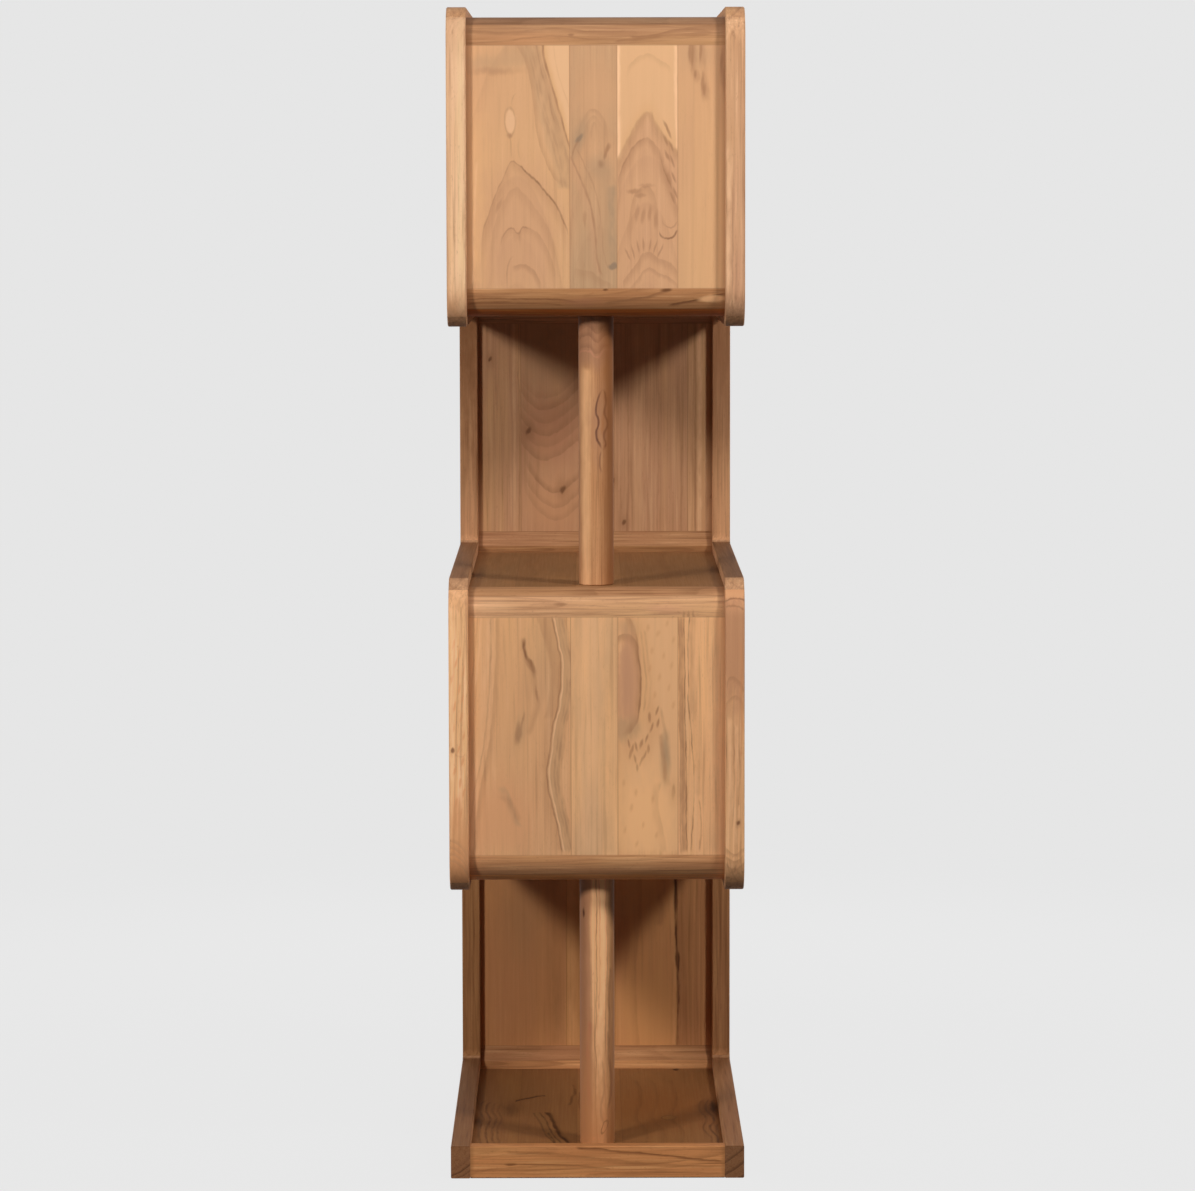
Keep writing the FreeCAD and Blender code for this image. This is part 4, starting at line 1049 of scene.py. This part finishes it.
# How light each of the other pieces is, how warm, and its colours where they differ.
# The low tones and extra warmth of the pieces at the back of the bays are partly painted shade.
TONES = {
    "left_back_low_upright": (0.57, 1.7),
    "right_back_low_upright": (0.77, 1.5),
    "top_front_rail": (0.55, 0.5),
    # Painted shade: this rail's round faces down, and its low tone and deep red colours darken it.
    "shelf_3_front_rail": (0.42, 3, (0.74, 0.27, 0.105), (0.64, 0.235, 0.09)),
    "shelf_2_front_rail": (0.66, 1),
    "front_low_bottom_rail": (0.89, 1.2),
    "shelf_1_front_rail": (1.1, 1.8),
    "back_high_bottom_rail": (0.68, 0.9),
    "shelf_2_back_rail": (0.47, 1.5),
    "back_low_bottom_rail": (0.73, 1.2),
    "floor_back_rail": (0.74, 1.5),
    "back_lip": (0.7, 0.5),
}
PLAIN_TONE = (0.85, 0.6)

others = [node for node in sorted(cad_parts) if not node.endswith("_planks")]
for index, node in enumerate(others):
    if node in woods:
        continue
    if node.endswith("_post"):
        make = post
    elif node.startswith(SIDES):
        make = side_board
    else:
        make = rail
    make(node, 100 + 3.7 * index, *TONES.get(node, PLAIN_TONE))

for wood in woods.values():
    wood.finish()

# -------- stage, light, camera

BACKGROUND = 0.791
FLOOR_COLOUR = 0.10
FLOOR_RADIUS = 7.0
SHADOW_SHARE = 0.2
NEAR_GLOW = 0.985
AMBIENT = 0.03
LIT_FROM = (0, 0, 1.1)
GLOSSY_SHARE = 0.45
SHADOW_FADES = (0.8, 2.6)


def seen_directly(tree):
    """1 for what the camera sees, a share of it in gloss, and 0 for what lights the bookcase."""
    rays = tree.nodes.new("ShaderNodeLightPath").outputs
    kinds = ("Is Camera Ray", "Is Glossy Ray", "Is Transmission Ray")
    camera, glossy, clear = (Value(tree, rays[kind]) for kind in kinds)
    return camera.math("MAXIMUM", glossy * GLOSSY_SHARE).math("MAXIMUM", clear)


def floor_material():
    """A pale floor that takes a faint shadow near the bookcase and fades into the backdrop."""
    material = bpy.data.materials.new("pale_floor")
    material.use_nodes = True
    tree = material.node_tree
    shader = tree.nodes["Principled BSDF"]
    shader.inputs["Base Color"].default_value = (FLOOR_COLOUR, FLOOR_COLOUR, FLOOR_COLOUR, 1)
    shader.inputs["Roughness"].default_value = 0.9
    shader.inputs["Specular IOR Level"].default_value = 0.0
    glow = tree.nodes.new("ShaderNodeEmission")
    x, y, z = coordinates(tree)
    distance = (x * x + y * y).sqrt()
    join(tree, distance.ramp(*SHADOW_FADES, NEAR_GLOW, BACKGROUND), glow.inputs["Strength"])
    plain = distance.ramp(*SHADOW_FADES, 1 - SHADOW_SHARE, 1.0)
    mix = tree.nodes.new("ShaderNodeMixShader")
    join(tree, seen_directly(tree) * plain, mix.inputs[0])
    tree.links.new(shader.outputs[0], mix.inputs[1])
    tree.links.new(glow.outputs[0], mix.inputs[2])
    tree.links.new(mix.outputs[0], tree.nodes["Material Output"].inputs["Surface"])
    return material


def floor():
    corners = 96
    turns = [2 * math.pi * corner / corners for corner in range(corners)]
    points = [(FLOOR_RADIUS * math.cos(turn), FLOOR_RADIUS * math.sin(turn), 0) for turn in turns]
    mesh = bpy.data.meshes.new("floor")
    mesh.from_pydata(points, [], [range(corners)])
    mesh.materials.append(floor_material())
    piece = bpy.data.objects.new("floor", mesh)
    bpy.context.scene.collection.objects.link(piece)


def backdrop():
    """A plain pale backdrop all round, which lights the bookcase only a little."""
    world = bpy.data.worlds.new("studio")
    bpy.context.scene.world = world
    world.use_nodes = True
    tree = world.node_tree
    light = tree.nodes["Background"]
    light.inputs["Color"].default_value = (1, 1, 1, 1)
    join(tree, seen_directly(tree).ramp(0, 1, AMBIENT, BACKGROUND), light.inputs["Strength"])


def softbox(name, azimuth, elevation, distance, size, power, glossy=False):
    """A square lamp that faces the bookcase; azimuth 0 is straight in front, 90 is to the right."""
    turn, rise = math.radians(azimuth), math.radians(elevation)
    level = math.cos(rise)
    away = Vector((math.sin(turn) * level, -math.cos(turn) * level, math.sin(rise)))
    light = bpy.data.lights.new(name, "AREA")
    light.size = size
    light.energy = power
    lamp = bpy.data.objects.new(name, light)
    lamp.location = Vector(LIT_FROM) + away * distance
    lamp.rotation_euler = (-away).to_track_quat("-Z", "Y").to_euler()
    lamp.visible_camera = False
    lamp.visible_glossy = glossy
    bpy.context.scene.collection.objects.link(lamp)


floor()
backdrop()
softbox("key_left", -34, 17, 3.6, 0.5, 64)
softbox("key_right", 45, 25, 2.6, 0.42, 34)
softbox("top", 0, 60, 3.2, 1.1, 13, glossy=True)
softbox("side_left", -100, 8, 3.2, 1.0, 14)
softbox("side_right", 100, 8, 3.2, 1.0, 14)
softbox("rear_left", -168, 5, 3.2, 0.8, 30)
softbox("rear_right", 168, 5, 3.2, 0.8, 30)

# The camera stands far in front, a little above the middle. Angles are in radians.
FOCAL_PIXELS = 4622.8
FRAME_PIXELS = 1195
SENSOR_WIDTH = 36.0
EYE = (-0.016, -6.185, 1.2905)
YAW, PITCH, ROLL = 0.00294, 0.09121, -0.00184

camera_data = bpy.data.cameras.new("camera")
camera_data.sensor_fit = "HORIZONTAL"
camera_data.sensor_width = SENSOR_WIDTH
camera_data.lens = FOCAL_PIXELS / FRAME_PIXELS * SENSOR_WIDTH
camera = bpy.data.objects.new("camera", camera_data)
bpy.context.scene.collection.objects.link(camera)
ahead = Vector((math.sin(YAW) * math.cos(PITCH), math.cos(YAW) * math.cos(PITCH), -math.sin(PITCH)))
right = Vector((math.cos(YAW), -math.sin(YAW), 0))
up = right.cross(ahead)
rolled_right = math.cos(ROLL) * right + math.sin(ROLL) * up
rolled_up = -math.sin(ROLL) * right + math.cos(ROLL) * up
turn = Matrix((rolled_right, rolled_up, -ahead)).transposed()
camera.matrix_world = Matrix.Translation(EYE) @ turn.to_4x4()
bpy.context.scene.camera = camera
bpy.context.scene.view_settings.view_transform = "Standard"
